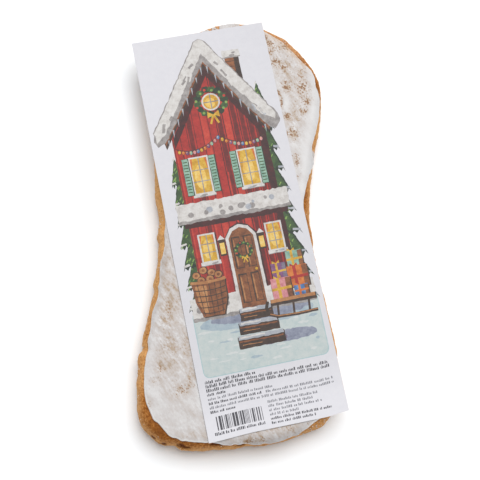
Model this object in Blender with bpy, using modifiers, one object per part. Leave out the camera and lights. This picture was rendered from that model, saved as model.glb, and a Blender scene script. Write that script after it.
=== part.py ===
"""Iced gingerbread cake with its picture card.

A long waisted gingerbread lies flat on its underside, with +Y from its foot to its head and +Z up.
A thin skin of white icing covers its top, and a printed paper card rests on the icing, turned a
little against the cake. The origin is on the ground, under the middle of the whole. Units: metres.
"""

import math

import bmesh
import bpy
from mathutils import Vector, noise

MM = 0.001
COLLECTION = "gingerbread_cake"

# Plan of the cake: two lobes joined by a waist, each end rounded as a superellipse.
CAKE_AXIS_X = 1.1 * MM
HEAD_HALF_WIDTH = 48.5 * MM
FOOT_HALF_WIDTH = 54.3 * MM
WAIST_HALF_WIDTH_LEFT = 43.5 * MM
WAIST_HALF_WIDTH_RIGHT = 40.5 * MM
HEAD_LOBE_Y = 77.8 * MM
FOOT_LOBE_Y = -88.7 * MM
WAIST_Y_LEFT = -11.2 * MM
WAIST_Y_RIGHT = 9.8 * MM
HEAD_END_Y = 121.0 * MM
FOOT_END_Y = -119.1 * MM
HEAD_ROUNDNESS = 1.8
FOOT_ROUNDNESS_LEFT = 3.25
FOOT_ROUNDNESS_RIGHT = 2.3
FOOT_SLANT = 0.05
FOOT_SLANT_START_Y = -58.0 * MM
FOOT_SLANT_LENGTH = 60.0 * MM

# Section of the cake's side: flat top, rounded shoulder, belly low down, small round underneath.
CAKE_HEIGHT = 17.7 * MM
BELLY_HEIGHT = 5.0 * MM
SHOULDER_WIDTH = 7.0 * MM
SHOULDER_ROUNDNESS = 2.6
UNDERCUT_WIDTH = 2.4 * MM

# Points around the cake, and steps down its shoulder and its undercut.
POINTS_AROUND = 152
SHOULDER_STEPS = 8
SECTION_SAMPLES = 90
UNDERCUT_STEPS = 3

# Baked unevenness of the side: a slow wander, a crumbly roughness and single knobs and nicks.
WANDER_SIZE = 28.0 * MM
WANDER_DEPTH = 0.45 * MM
CRUMB_SIZE = 6.0 * MM
CRUMB_DEPTH = 0.3 * MM
# Each knob or nick: x, y, radius, height (below zero for a nick).
KNOBS = (
    (-44.6 * MM, -30.8 * MM, 3.5 * MM, 0.9 * MM),
    (-52.1 * MM, -71.7 * MM, 5.0 * MM, 1.0 * MM),
    (-26.0 * MM, -119.7 * MM, 7.0 * MM, 1.1 * MM),
    (-36.0 * MM, -117.2 * MM, 4.0 * MM, -0.7 * MM),
    (33.7 * MM, 108.9 * MM, 5.0 * MM, 0.8 * MM),
    (45.8 * MM, 85.9 * MM, 4.0 * MM, -0.6 * MM),
)

# Icing: how far its edge stays in from the cake's edge, and where it stops short or runs over.
CONTACT_GAP = 0.3 * MM
ICING_THICKNESS = 1.15 * MM
ICING_LIP = 0.55 * MM
ICING_LIP_WIDTH = 2.5 * MM
ICING_SWELL = 0.15 * MM
ICING_SWELL_SIZE = 16.0 * MM
ICING_MARGIN = 3.0 * MM
ICING_LEAST_MARGIN = 0.35 * MM
# Each change of the margin: bearing from the middle in degrees, its spread, and the change.
MARGIN_CHANGES = (
    (15.0, 12.0, 1.6 * MM),
    (43.0, 7.0, -1.7 * MM),
    (55.0, 5.0, -1.3 * MM),
    (69.0, 8.0, 2.4 * MM),
    (145.0, 8.0, -1.7 * MM),
    (180.0, 11.0, 0.8 * MM),
    (207.0, 6.5, -1.3 * MM),
    (229.0, 3.0, -1.4 * MM),
    (239.0, 5.0, 1.0 * MM),
    (247.5, 4.0, 4.6 * MM),
    (270.0, 4.0, -0.9 * MM),
    (274.2, 2.2, -1.1 * MM),
    (281.0, 5.0, -1.5 * MM),
    (291.0, 2.5, 0.9 * MM),
    (330.0, 9.0, -0.6 * MM),
)
# Rings of the icing, by their distance from its edge, measured along the cake's surface.
ICING_UNDER_RINGS = (0.0, 1.3 * MM, 2.6 * MM, 4.2 * MM, 6.5 * MM, 9.5 * MM)
ICING_TOP_RINGS = (0.0, 0.4 * MM, 1.2 * MM, 2.6 * MM, 4.2 * MM, 6.5 * MM, 9.5 * MM)
ICING_DEEP_INSET = 20.0 * MM
SPINE_HEAD_Y = 72.0 * MM
SPINE_FOOT_Y = -80.0 * MM
DEEP_STEPS = (0.0, 0.3, 0.6)

# Picture card: a sheet of paper board that rests on the icing and curls up a little at its rim.
CARD_WIDTH = 75.0 * MM
CARD_LENGTH = 223.7 * MM
CARD_THICKNESS = 0.4 * MM
CARD_TURN = math.radians(11.06)
CARD_CENTRE_Y = 1.3 * MM
CARD_UNDERSIDE = 19.6 * MM
CARD_SIDE_CURL = 0.3 * MM
CARD_END_CURL = 0.4 * MM
CARD_CELLS_ACROSS = 6
CARD_CELLS_ALONG = 16


def clear_scene():
    """Remove whatever the scene holds."""
    for obj in list(bpy.data.objects):
        bpy.data.objects.remove(obj, do_unlink=True)


def make_collection(name):
    """Add the collection that holds the cake's parts."""
    collection = bpy.data.collections.new(name)
    bpy.context.scene.collection.children.link(collection)
    return collection


def make_material(name, colour, roughness):
    """Make a Principled material of one colour."""
    material = bpy.data.materials.new(name)
    material.use_nodes = True
    shader = material.node_tree.nodes["Principled BSDF"]
    shader.inputs["Base Color"].default_value = (*colour, 1.0)
    shader.inputs["Roughness"].default_value = roughness
    shader.inputs["Metallic"].default_value = 0.0
    return material


def superellipse(half_width, reach, roundness, angle):
    """Return a point on a superellipse's quarter: across, and along towards its tip."""
    across = half_width * math.cos(angle) ** (2.0 / roundness)
    along = reach * math.sin(angle) ** (2.0 / roundness)
    return across, along


def flank(side, waist_half_width, waist_y, steps):
    """Return the points of one long side, from the foot's lobe up to the head's lobe."""
    points = []
    for step in range(steps + 1):
        y = FOOT_LOBE_Y + (HEAD_LOBE_Y - FOOT_LOBE_Y) * step / steps
        if y < waist_y:
            lobe_half_width = FOOT_HALF_WIDTH
            share = (waist_y - y) / (waist_y - FOOT_LOBE_Y)
        else:
            lobe_half_width = HEAD_HALF_WIDTH
            share = (y - waist_y) / (HEAD_LOBE_Y - waist_y)
        swell = 0.5 - 0.5 * math.cos(math.pi * share)
        half_width = waist_half_width + (lobe_half_width - waist_half_width) * swell
        points.append((side * half_width, y))
    return points


def rounded_end(side, half_width, lobe_y, end_y, roundness, steps):
    """Return the points of half an end, from its lobe to just before its tip."""
    points = []
    for step in range(1, steps):
        angle = 0.5 * math.pi * step / steps
        across, along = superellipse(half_width, end_y - lobe_y, roundness, angle)
        points.append((side * across, lobe_y + along))
    return points


def plan_outline():
    """Return the widest outline of the cake, counter-clockwise, as dense points."""
    steps = 120
    right = flank(1.0, WAIST_HALF_WIDTH_RIGHT, WAIST_Y_RIGHT, steps)
    left = flank(-1.0, WAIST_HALF_WIDTH_LEFT, WAIST_Y_LEFT, steps)
    head_right = rounded_end(1.0, HEAD_HALF_WIDTH, HEAD_LOBE_Y, HEAD_END_Y, HEAD_ROUNDNESS, steps)
    head_left = rounded_end(-1.0, HEAD_HALF_WIDTH, HEAD_LOBE_Y, HEAD_END_Y, HEAD_ROUNDNESS, steps)
    foot_right = rounded_end(1.0, FOOT_HALF_WIDTH, FOOT_LOBE_Y, FOOT_END_Y, FOOT_ROUNDNESS_RIGHT, steps)
    foot_left = rounded_end(-1.0, FOOT_HALF_WIDTH, FOOT_LOBE_Y, FOOT_END_Y, FOOT_ROUNDNESS_LEFT, steps)
    points = right + head_right + [(0.0, HEAD_END_Y)] + head_left[::-1]
    points += left[::-1] + foot_left + [(0.0, FOOT_END_Y)] + foot_right[::-1]
    outline = []
    for x, y in points:
        slant = min(1.0, max(0.0, (FOOT_SLANT_START_Y - y) / FOOT_SLANT_LENGTH))
        outline.append(Vector((CAKE_AXIS_X + x, y + FOOT_SLANT * slant * x)))
    return outline


def evenly_spaced(outline, count):
    """Return points at equal steps along a closed outline."""
    lengths = [0.0]
    for index, point in enumerate(outline):
        following = outline[(index + 1) % len(outline)]
        lengths.append(lengths[-1] + (following - point).length)
    points = []
    segment = 0
    for step in range(count):
        target = lengths[-1] * step / count
        while lengths[segment + 1] < target:
            segment += 1
        share = (target - lengths[segment]) / (lengths[segment + 1] - lengths[segment])
        start = outline[segment]
        end = outline[(segment + 1) % len(outline)]
        points.append(start.lerp(end, share))
    return points


def outward_normals(outline):
    """Return the outward direction at each point of a counter-clockwise outline."""
    normals = []
    count = len(outline)
    for index in range(count):
        along = outline[(index + 1) % count] - outline[index - 1]
        normals.append(Vector((along.y, -along.x)).normalized())
    return normals


def side_relief(point, height):
    """Return how far the baked side stands out from its plain section, at a point and height."""
    wander = noise.noise(Vector((point.x, point.y, 0.0)) / WANDER_SIZE)
    crumb = noise.noise(Vector((point.x, point.y, height)) / CRUMB_SIZE)
    relief = WANDER_DEPTH * wander + CRUMB_DEPTH * crumb
    for x, y, radius, rise in KNOBS:
        distance = (point - Vector((x, y))).length
        relief += rise * math.exp(-(distance / radius) ** 2)
    return relief


def shoulder_point(angle):
    """Return the section's inset and height, and its normal, at an angle up from the flat top."""
    across = math.sin(angle) ** (2.0 / SHOULDER_ROUNDNESS)
    rise = math.cos(angle) ** (2.0 / SHOULDER_ROUNDNESS)
    shoulder_height = CAKE_HEIGHT - BELLY_HEIGHT
    outward = across ** (SHOULDER_ROUNDNESS - 1.0) / SHOULDER_WIDTH
    upward = rise ** (SHOULDER_ROUNDNESS - 1.0) / shoulder_height
    inset = SHOULDER_WIDTH * (1.0 - across)
    return inset, BELLY_HEIGHT + shoulder_height * rise, Vector((outward, upward)).normalized()


def shoulder_section():
    """Return the shoulder from the flat top to the belly: run of surface, inset, height, normal."""
    section = []
    run = 0.0
    for sample in range(SECTION_SAMPLES + 1):
        angle = min(0.5 * math.pi * sample / SECTION_SAMPLES, 0.5 * math.pi - 1e-9)
        inset, height, normal = shoulder_point(angle)
        if section:
            run += math.hypot(section[-1][1] - inset, section[-1][2] - height)
        section.append((run, inset, height, normal))
    return section


def section_at(section, column, value):
    """Return inset, height and normal where the run (0) or the inset (1) has a value."""
    sign = 1.0 if column == 0 else -1.0
    for lower, upper in zip(section, section[1:]):
        if sign * upper[column] >= sign * value:
            share = (value - lower[column]) / (upper[column] - lower[column])
            run = lower[0] + (upper[0] - lower[0]) * share
            inset = lower[1] + (upper[1] - lower[1]) * share
            height = lower[2] + (upper[2] - lower[2]) * share
            return run, inset, height, lower[3].lerp(upper[3], share).normalized()
    return section[-1]


def surface_run(section, inset):
    """Return how far along the surface an inset lies from the flat top's rim, outward."""
    if inset >= SHOULDER_WIDTH:
        return SHOULDER_WIDTH - inset
    return section_at(section, 1, inset)[0]


def cake_surface(section, point, outward, run):
    """Return a point of the cake's top or shoulder, and the surface's normal there."""
    if run <= 0.0:
        inset, height, section_normal = SHOULDER_WIDTH - run, CAKE_HEIGHT, Vector((0.0, 1.0))
    else:
        inset, height, section_normal = section_at(section, 0, run)[1:]
    stand_out = side_relief(point, height) * section_normal.x
    flat = point - outward * (inset - stand_out)
    normal = Vector((outward.x * section_normal.x, outward.y * section_normal.x, section_normal.y))
    return Vector((flat.x, flat.y, height)), normal


def loft(name, rings, material, collection):
    """Join closed rings of equal count from the lowest to the highest, and cap both ends."""
    mesh = bpy.data.meshes.new(name)
    form = bmesh.new()
    rows = [[form.verts.new(point) for point in ring] for ring in rings]
    count = len(rows[0])
    for lower, upper in zip(rows, rows[1:]):
        for index in range(count):
            following = (index + 1) % count
            form.faces.new((lower[index], lower[following], upper[following], upper[index]))
    form.faces.new(rows[0][::-1])
    form.faces.new(rows[-1])
    form.to_mesh(mesh)
    form.free()
    obj = bpy.data.objects.new(name, mesh)
    collection.objects.link(obj)
    mesh.materials.append(material)
    mesh.shade_smooth()
    mesh.set_sharp_from_angle(angle=math.radians(50.0))
    return obj


def gingerbread(outline, normals, section, collection):
    """Model the baked body: flat underside, uneven sides, rounded shoulder and flat top."""
    rings = []
    for step in range(UNDERCUT_STEPS):
        angle = 0.5 * math.pi * step / UNDERCUT_STEPS
        inset = UNDERCUT_WIDTH * (1.0 - math.sin(angle))
        height = BELLY_HEIGHT * (1.0 - math.cos(angle))
        ring = []
        for point, outward in zip(outline, normals):
            flat = point - outward * (inset - side_relief(point, height) * math.sin(angle))
            ring.append(Vector((flat.x, flat.y, height)))
        rings.append(ring)
    whole_run = section[-1][0]
    for step in range(SHOULDER_STEPS + 1):
        run = whole_run * (1.0 - step / SHOULDER_STEPS)
        rings.append([cake_surface(section, *place, run)[0] for place in zip(outline, normals)])
    material = make_material("baked_gingerbread", (0.41, 0.22, 0.085), 0.75)
    return loft("gingerbread", rings, material, collection)


def icing_margin(point):
    """Return how far in from the cake's edge the icing ends, at a point of the outline."""
    bearing = math.degrees(math.atan2(point.y, point.x)) % 360.0
    margin = ICING_MARGIN
    for centre, spread, change in MARGIN_CHANGES:
        apart = (bearing - centre + 180.0) % 360.0 - 180.0
        margin += change * math.exp(-(apart / spread) ** 2)
    return max(ICING_LEAST_MARGIN, margin)


def icing_depth(point, distance_in):
    """Return the icing's thickness, thin at its lip and gently swelling further in."""
    share = min(1.0, distance_in / ICING_LIP_WIDTH)
    body = ICING_LIP + (ICING_THICKNESS - ICING_LIP) * math.sin(0.5 * math.pi * share)
    return body + ICING_SWELL * share * noise.noise(point / ICING_SWELL_SIZE)


def icing_ring(outline, normals, section, distance_in, lift):
    """Return a ring of the icing, so far in from its edge, lifted off the cake by a rule."""
    ring = []
    for point, outward in zip(outline, normals):
        run = surface_run(section, icing_margin(point)) - distance_in
        surface, normal = cake_surface(section, point, outward, run)
        ring.append(surface + normal * lift(surface))
    return ring


def deep_ring(outline, normals, section, share, lift):
    """Return a ring between the deep inset and the cake's spine, on its flat top."""
    ring = []
    for point, outward in zip(outline, normals):
        surface = cake_surface(section, point, outward, SHOULDER_WIDTH - ICING_DEEP_INSET)[0]
        spine_y = min(SPINE_HEAD_Y, max(SPINE_FOOT_Y, surface.y))
        flat = surface.lerp(Vector((CAKE_AXIS_X, spine_y, surface.z)), share)
        ring.append(flat + Vector((0.0, 0.0, lift(flat))))
    return ring


def icing(outline, normals, section, collection):
    """Model the white skin that lies on the cake's top and laps over its shoulder."""
    place = (outline, normals, section)
    rings = [deep_ring(*place, 0.0, lambda point: CONTACT_GAP)]
    for distance_in in reversed(ICING_UNDER_RINGS):
        rings.append(icing_ring(*place, distance_in, lambda point: CONTACT_GAP))
    for distance_in in ICING_TOP_RINGS:
        def lift(point, distance_in=distance_in):
            return CONTACT_GAP + icing_depth(point, distance_in)
        rings.append(icing_ring(*place, distance_in, lift))
    for share in DEEP_STEPS[:-1]:
        rings.append(deep_ring(*place, share, lambda point: CONTACT_GAP + icing_depth(point, ICING_DEEP_INSET)))
    rings.append(deep_ring(*place, DEEP_STEPS[-1], lambda point: CONTACT_GAP + ICING_THICKNESS))
    material = make_material("white_icing", (0.68, 0.62, 0.59), 0.55)
    return loft("icing", rings, material, collection)


def picture_card(collection):
    """Model the printed card: a flat sheet with its rim curled up, lying on the icing."""
    bpy.ops.mesh.primitive_grid_add(
        x_subdivisions=CARD_CELLS_ACROSS, y_subdivisions=CARD_CELLS_ALONG, size=1.0
    )
    card = bpy.context.object
    card.name = "picture_card"
    card.data.name = "picture_card"
    for vertex in card.data.vertices:
        across = 2.0 * vertex.co.x
        along = 2.0 * vertex.co.y
        curl = CARD_SIDE_CURL * abs(across) ** 3 + CARD_END_CURL * abs(along) ** 6
        vertex.co = Vector((0.5 * across * CARD_WIDTH, 0.5 * along * CARD_LENGTH, curl))
    board = card.modifiers.new("board", "SOLIDIFY")
    board.thickness = CARD_THICKNESS
    board.offset = 1.0
    card.location = (0.0, CARD_CENTRE_Y, CARD_UNDERSIDE)
    card.rotation_euler = (0.0, 0.0, CARD_TURN)
    card.data.materials.append(make_material("printed_card", (0.75, 0.75, 0.80), 0.45))
    for owner in list(card.users_collection):
        owner.objects.unlink(card)
    collection.objects.link(card)
    return card


def build():
    """Model the whole cake."""
    clear_scene()
    collection = make_collection(COLLECTION)
    outline = evenly_spaced(plan_outline(), POINTS_AROUND)
    normals = outward_normals(outline)
    section = shoulder_section()
    gingerbread(outline, normals, section, collection)
    icing(outline, normals, section, collection)
    picture_card(collection)


build()
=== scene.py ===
"""A long gingerbread cake with white icing on its top and a printed picture card laid along it.

The sections follow the cake as it is made: the baked gingerbread, its icing, the loose sugar, the
card, and then the table, the lamp and the camera. Lengths are metres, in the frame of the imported
model: +Y runs from the cake's foot to its head and +Z points up.
"""

import math
import random

import bmesh
import bpy
import numpy
from mathutils import Matrix, Vector, geometry, noise


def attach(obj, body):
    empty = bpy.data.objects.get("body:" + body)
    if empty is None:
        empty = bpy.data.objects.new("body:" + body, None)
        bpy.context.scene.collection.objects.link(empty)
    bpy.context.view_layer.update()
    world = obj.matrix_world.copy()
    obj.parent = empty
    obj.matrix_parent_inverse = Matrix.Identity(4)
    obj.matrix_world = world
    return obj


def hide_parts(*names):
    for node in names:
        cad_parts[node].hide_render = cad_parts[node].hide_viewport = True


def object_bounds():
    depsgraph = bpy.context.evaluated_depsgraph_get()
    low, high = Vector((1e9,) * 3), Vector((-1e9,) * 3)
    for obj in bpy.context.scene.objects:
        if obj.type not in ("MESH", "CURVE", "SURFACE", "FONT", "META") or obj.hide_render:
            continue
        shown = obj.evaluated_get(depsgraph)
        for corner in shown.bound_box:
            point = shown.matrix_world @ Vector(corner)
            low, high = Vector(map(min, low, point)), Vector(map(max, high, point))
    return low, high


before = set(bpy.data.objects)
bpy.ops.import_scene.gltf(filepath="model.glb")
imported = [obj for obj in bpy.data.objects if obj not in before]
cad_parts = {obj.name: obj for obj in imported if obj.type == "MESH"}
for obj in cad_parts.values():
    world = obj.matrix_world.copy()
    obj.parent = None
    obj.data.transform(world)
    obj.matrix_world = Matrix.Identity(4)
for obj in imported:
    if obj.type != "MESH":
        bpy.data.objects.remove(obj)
cad_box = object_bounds()

# ---------------------------------------------------------------------------------------------
# The baked gingerbread. A slab of firm honey dough about 18 mm thick, cut to a long waisted shape
# and baked on a sheet: its underside is flat, its sides are uneven and crumbly, and its top edge
# is rounded. The crust is darkest on top and paler down the sides.

MM = 0.001
ROOT = "root"


def in_metres(lengths, rows):
    """Return a table's rows with their first so many entries turned from millimetres into metres."""
    return [(*(entry * MM for entry in row[:lengths]), *row[lengths:]) for row in rows]


CAKE_AXIS_X = 1.1 * MM
HEAD_HALF_WIDTH = 48.5 * MM
FOOT_HALF_WIDTH = 54.3 * MM
WAIST_HALF_WIDTH_LEFT = 43.5 * MM
WAIST_HALF_WIDTH_RIGHT = 40.5 * MM
HEAD_LOBE_Y = 77.8 * MM
FOOT_LOBE_Y = -88.7 * MM
WAIST_Y_LEFT = -11.2 * MM
WAIST_Y_RIGHT = 9.8 * MM
HEAD_END_Y = 121.0 * MM
FOOT_END_Y = -119.1 * MM
HEAD_ROUNDNESS = 1.8
FOOT_ROUNDNESS_LEFT = 3.25
FOOT_ROUNDNESS_RIGHT = 2.3
FOOT_SLANT = 0.05
FOOT_SLANT_START_Y = -58.0 * MM
FOOT_SLANT_LENGTH = 60.0 * MM
OUTLINE_STEPS = 240

CAKE_HEIGHT = 17.7 * MM
BELLY_HEIGHT = 5.0 * MM
SHOULDER_WIDTH = 7.0 * MM
SHOULDER_ROUNDNESS = 2.6
# The section ends just short of upright, where the cosine is still above zero.
SHOULDER_END = 0.5 * math.pi - 1e-9
UNDERCUT_WIDTH = 2.4 * MM

POINTS_AROUND = 1200
NORMAL_REACH = 3
UNDERCUT_STEPS = 9
SHOULDER_STEPS = 36
SECTION_SAMPLES = 90
BARE_TOP_WIDTH = 13.0 * MM
BARE_TOP_STEPS = 16
UNDERSIDE_WIDTH = 14.0 * MM
UNDERSIDE_STEPS = 10

WANDER_SIZE = 28.0 * MM
WANDER_DEPTH = 0.45 * MM
CRUMB_SIZE = 6.0 * MM
CRUMB_DEPTH = 0.3 * MM
# Each knob or nick, in millimetres: x, y, radius, height (below zero for a nick).
KNOBS = in_metres(4, (
    (-44.5, 25.0, 9.0, 0.4),
    (-42.3, 8.0, 6.0, -0.35),
    (-42.0, -2.4, 4.5, 0.3),
    (-42.2, -8.2, 1.8, -0.4),
    (7.0, -119.5, 4.0, -0.35),
    (30.5, 113.0, 5.0, 0.55),
    (-43.0, 18.0, 6.0, 0.65),
    (-41.5, 2.6, 4.0, -0.9),
    (-42.0, -6.4, 2.6, 0.55),
    (-44.6, -30.8, 3.5, 0.65),
    (-44.6, -36.0, 3.0, -0.6),
    (-50.9, -67.4, 2.7, -1.5),
    (-52.1, -71.9, 5.0, 0.9),
    (-53.0, -76.5, 3.0, -0.4),
    (-45.6, -110.4, 6.0, -0.6),
    (-39.2, -115.2, 2.6, 0.5),
    (-33.0, -117.6, 3.0, -1.4),
    (-26.0, -119.7, 7.0, 0.8),
    (-17.0, -119.4, 3.0, 0.45),
    (5.0, -119.2, 3.6, -0.7),
    (32.6, -115.6, 5.0, -0.6),
    (45.4, -108.0, 5.4, 1.2),
    (42.0, -6.0, 5.0, 0.6),
    (41.6, 6.0, 4.0, -0.4),
    (46.4, 86.4, 7.0, 0.7),
    (48.4, 89.4, 3.4, -0.45),
    (45.0, 46.0, 7.5, -0.45),
    (34.4, 107.6, 4.0, -0.2),
    (-29.7, -119.4, 1.8, 0.6),
))

FOLD_LENGTH = 22.0 * MM
FOLD_HEIGHT = 3.2 * MM
FOLD_DEPTH = 0.2 * MM
GRAIN_SIZE = 1.5 * MM
GRAIN_DEPTH = 0.07 * MM
PORE_SIZE = 2.6 * MM
PORE_REACH = 0.34
PORE_SHARE = 0.45
PORE_DEPTH = 0.4 * MM
PORE_DRAW = 7.3
# How much painted shade a pore's hollow gets, against that of a tear.
PORE_HOLLOW_SHADE = 0.5
SHEET_DENT = 0.12 * MM
SHEET_DENT_SIZE = 4.0 * MM
NICK_LENGTH = 2.6 * MM
NICK_HEIGHT = 8.0 * MM
NICK_DEPTH = 0.3 * MM
FINE_NICKS = 2.1
TOP_RELIEF_LIMIT = 0.12 * MM
SIDE_RELIEF_LIMIT = 0.5 * MM
SIDE_RELIEF_RUN = 5.0 * MM
TEAR_FAR = 4.0
TEAR_RAGGEDNESS = 0.8
TEAR_RAG_SIZE = 1.1 * MM
TEAR_BORDER = (1.3, 0.6)
# Each torn place of the side, in millimetres: x, y, height, half its length along the edge, half its
# height, and its depth.
TEARS = in_metres(6, (
    (-29.0, -118.2, 14.2, 1.7, 1.7, 1.3),
    (-26.2, -118.6, 13.4, 1.8, 1.4, 1.1),
    (-31.0, -118.2, 12.6, 0.9, 1.4, 0.9),
    (-38.2, -116.0, 11.0, 1.3, 1.8, 0.7),
    (-44.0, -112.9, 11.0, 1.7, 1.9, 0.6),
    (-47.4, -110.2, 10.0, 1.6, 1.2, 0.4),
    (-41.0, -114.6, 9.0, 9.0, 0.8, 0.5),
    (-11.0, -118.6, 15.6, 3.4, 0.8, 1.0),
    (2.0, -118.9, 14.0, 2.2, 0.8, 0.7),
    (-44.3, -112.7, 6.5, 5.0, 0.7, 0.7),
    (-53.0, -78.0, 8.0, 4.0, 0.8, 0.6),
    (-42.6, -22.0, 9.0, 4.0, 0.9, 0.6),
    (46.0, 52.0, 9.0, 3.0, 0.9, 0.6),
    (41.6, 4.0, 8.0, 5.0, 0.8, 0.6),
    (12.0, 120.6, 9.0, 5.0, 0.8, 0.7),
    (-38.0, 107.0, 8.0, 4.0, 0.8, 0.7),
    (40.0, -112.6, 6.0, 4.0, 0.8, 0.6),
))

CRAG_FAR = 3.0
CRAG_RAGGEDNESS = 0.6
CRAG_RAG_SIZE = 0.9 * MM
CRAG_STEEPNESS = 4
# Each crumb of crust that stands up where the icing leaves the head's edge bare, in millimetres: x, y,
# radius, rise.
CRAGS = in_metres(4, (
    (-15.2, 113.7, 1.1, 1.3),
    (-10.7, 115.6, 1.0, 1.5),
    (3.6, 116.9, 0.9, 1.0),
))

CRUST_PALE = (0.66, 0.36, 0.135)
CRUST_MIDDLE = (0.53, 0.25, 0.08)
CRUST_BROWN = (0.312, 0.114, 0.021)
CRUST_DARK = (0.182, 0.058, 0.008)
# The near-black brown painted into tears and pores as the shade in their hollows.
CRUST_HOLLOW_SHADE = (0.125, 0.03, 0.004)
CRUST_SUGAR = (0.62, 0.58, 0.54)
CRUST_ROUGHNESS = 0.75
CRUST_GLOSS = 0.15
CRUST_STOPS = ((0.05, CRUST_PALE), (0.4, CRUST_MIDDLE), (0.72, CRUST_BROWN), (1.0, CRUST_DARK))
# Each unevenness of the browning: its size, how far it goes and its detail.
CRUST_TONES = ((7.0 * MM, 0.14, 2.0), (1.3 * MM, 0.17, 2.0), (0.7 * MM, 0.15, 1.0))
# Each grain of the crust's finest relief: its size and its strength.
CRUST_GRAINS = ((0.5 * MM, 0.5), (1.6 * MM, 0.7))
CRUST_GRAIN_DEPTH = 0.12 * MM
BRAN_SIZE = 1.7 * MM
BRAN_SHARE = 0.3
BRAN_RADIUS = 0.34
BRAN_STRENGTH = 0.45
UNDERSIDE_BROWN = 0.75
BROWN_FALL = 1.3
# How brown the top edge bakes: along the sides, at the foot and at the head.
BROWN_SIDES = 0.6
BROWN_FOOT = 1.05
BROWN_HEAD = 0.9
FOOT_BROWNS_Y = (-74.0 * MM, -116.0 * MM)
HEAD_BROWNS_Y = (86.0 * MM, 112.0 * MM)
# Each place that is browner or paler than the rest of the edge, partly as it baked and partly as
# painted light and shade set against the lamp: browner on the lit right flank, paler on the left
# flank in shade. x, y and reach in millimetres, and the change.
BROWNING_AND_SHADE_CHANGES = in_metres(3, (
    (48.0, -106.0, 16.0, -0.36),
    (-44.0, 8.0, 40.0, -0.42),
    (-50.0, -84.0, 20.0, -0.16),
    (43.0, -4.0, 36.0, 0.55),
    (-37.3, -115.3, 8.0, 0.16),
    (-46.3, -55.0, 9.0, 0.14),
    (-8.0, 116.0, 14.0, -0.3),
    (24.0, 112.0, 11.0, -0.22),
    (48.0, 74.0, 11.0, 0.4),
    (46.0, 84.0, 14.0, 0.4),
))
# Each place where sugar clings to the bare crust: x, y and radius in millimetres, and the share of
# specks that are sugar.
SUGARED = in_metres(3, (
    (32.0, 107.0, 14.0, 0.4),
    (-8.0, 115.0, 12.0, 0.45),
))
SUGAR_EVERYWHERE = 0.012
SUGAR_HAZE = 0.2
SUGAR_SPECK_SIZE = 1.25 * MM
SUGAR_SPECK_RADIUS = 0.38
SUGAR_SPECK_STRENGTH = 0.5
# The one place where a film of glaze has run down the side: its two ends along the edge, its lowest
# and highest places, and how soft its border is.
FILM_SIDE_X = 35.0 * MM
FILM_ENDS_Y = (35.6 * MM, 43.2 * MM)
FILM_HEIGHTS = (4.0 * MM, 15.6 * MM)
FILM_SOFTNESS = 0.7 * MM
FILM_WHITE = (0.53, 0.505, 0.495)
FILM_STRENGTH = 0.94
FILM_RAGGEDNESS = 0.5
FILM_RAG_SIZE = 1.2 * MM


def superellipse(half_width, reach, roundness, angle):
    """Return a point on a superellipse's quarter: across, and along towards its tip."""
    across = half_width * math.cos(angle) ** (2.0 / roundness)
    along = reach * math.sin(angle) ** (2.0 / roundness)
    return across, along


def flank(side, waist_half_width, waist_y):
    """Return the points of one long side, from the foot's lobe up to the head's lobe."""
    points = []
    for step in range(OUTLINE_STEPS + 1):
        y = FOOT_LOBE_Y + (HEAD_LOBE_Y - FOOT_LOBE_Y) * step / OUTLINE_STEPS
        if y < waist_y:
            lobe_half_width = FOOT_HALF_WIDTH
            share = (waist_y - y) / (waist_y - FOOT_LOBE_Y)
        else:
            lobe_half_width = HEAD_HALF_WIDTH
            share = (y - waist_y) / (HEAD_LOBE_Y - waist_y)
        swell = 0.5 - 0.5 * math.cos(math.pi * share)
        half_width = waist_half_width + (lobe_half_width - waist_half_width) * swell
        points.append((side * half_width, y))
    return points


def rounded_end(side, half_width, lobe_y, end_y, roundness):
    """Return the points of half an end, from its lobe to just before its tip."""
    points = []
    for step in range(1, OUTLINE_STEPS):
        angle = 0.5 * math.pi * step / OUTLINE_STEPS
        across, along = superellipse(half_width, end_y - lobe_y, roundness, angle)
        points.append((side * across, lobe_y + along))
    return points


def plan_outline():
    """Return the widest outline of the cake, counter-clockwise, as dense points."""
    right_flank = flank(1.0, WAIST_HALF_WIDTH_RIGHT, WAIST_Y_RIGHT)
    left_flank = flank(-1.0, WAIST_HALF_WIDTH_LEFT, WAIST_Y_LEFT)
    head_right = rounded_end(1.0, HEAD_HALF_WIDTH, HEAD_LOBE_Y, HEAD_END_Y, HEAD_ROUNDNESS)
    head_left = rounded_end(-1.0, HEAD_HALF_WIDTH, HEAD_LOBE_Y, HEAD_END_Y, HEAD_ROUNDNESS)
    foot_right = rounded_end(1.0, FOOT_HALF_WIDTH, FOOT_LOBE_Y, FOOT_END_Y, FOOT_ROUNDNESS_RIGHT)
    foot_left = rounded_end(-1.0, FOOT_HALF_WIDTH, FOOT_LOBE_Y, FOOT_END_Y, FOOT_ROUNDNESS_LEFT)
    points = right_flank + head_right + [(0.0, HEAD_END_Y)] + head_left[::-1]
    points += left_flank[::-1] + foot_left + [(0.0, FOOT_END_Y)] + foot_right[::-1]
    dense = []
    for x, y in points:
        slant = min(1.0, max(0.0, (FOOT_SLANT_START_Y - y) / FOOT_SLANT_LENGTH))
        dense.append(Vector((CAKE_AXIS_X + x, y + FOOT_SLANT * slant * x)))
    return dense


def evenly_spaced(points, count):
    """Return points at equal steps along a closed line."""
    lengths = [0.0]
    for index, point in enumerate(points):
        following = points[(index + 1) % len(points)]
        lengths.append(lengths[-1] + (following - point).length)
    spaced = []
    segment = 0
    for step in range(count):
        target = lengths[-1] * step / count
        while lengths[segment + 1] < target:
            segment += 1
        share = (target - lengths[segment]) / (lengths[segment + 1] - lengths[segment])
        spaced.append(points[segment].lerp(points[(segment + 1) % len(points)], share))
    return spaced


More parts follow.
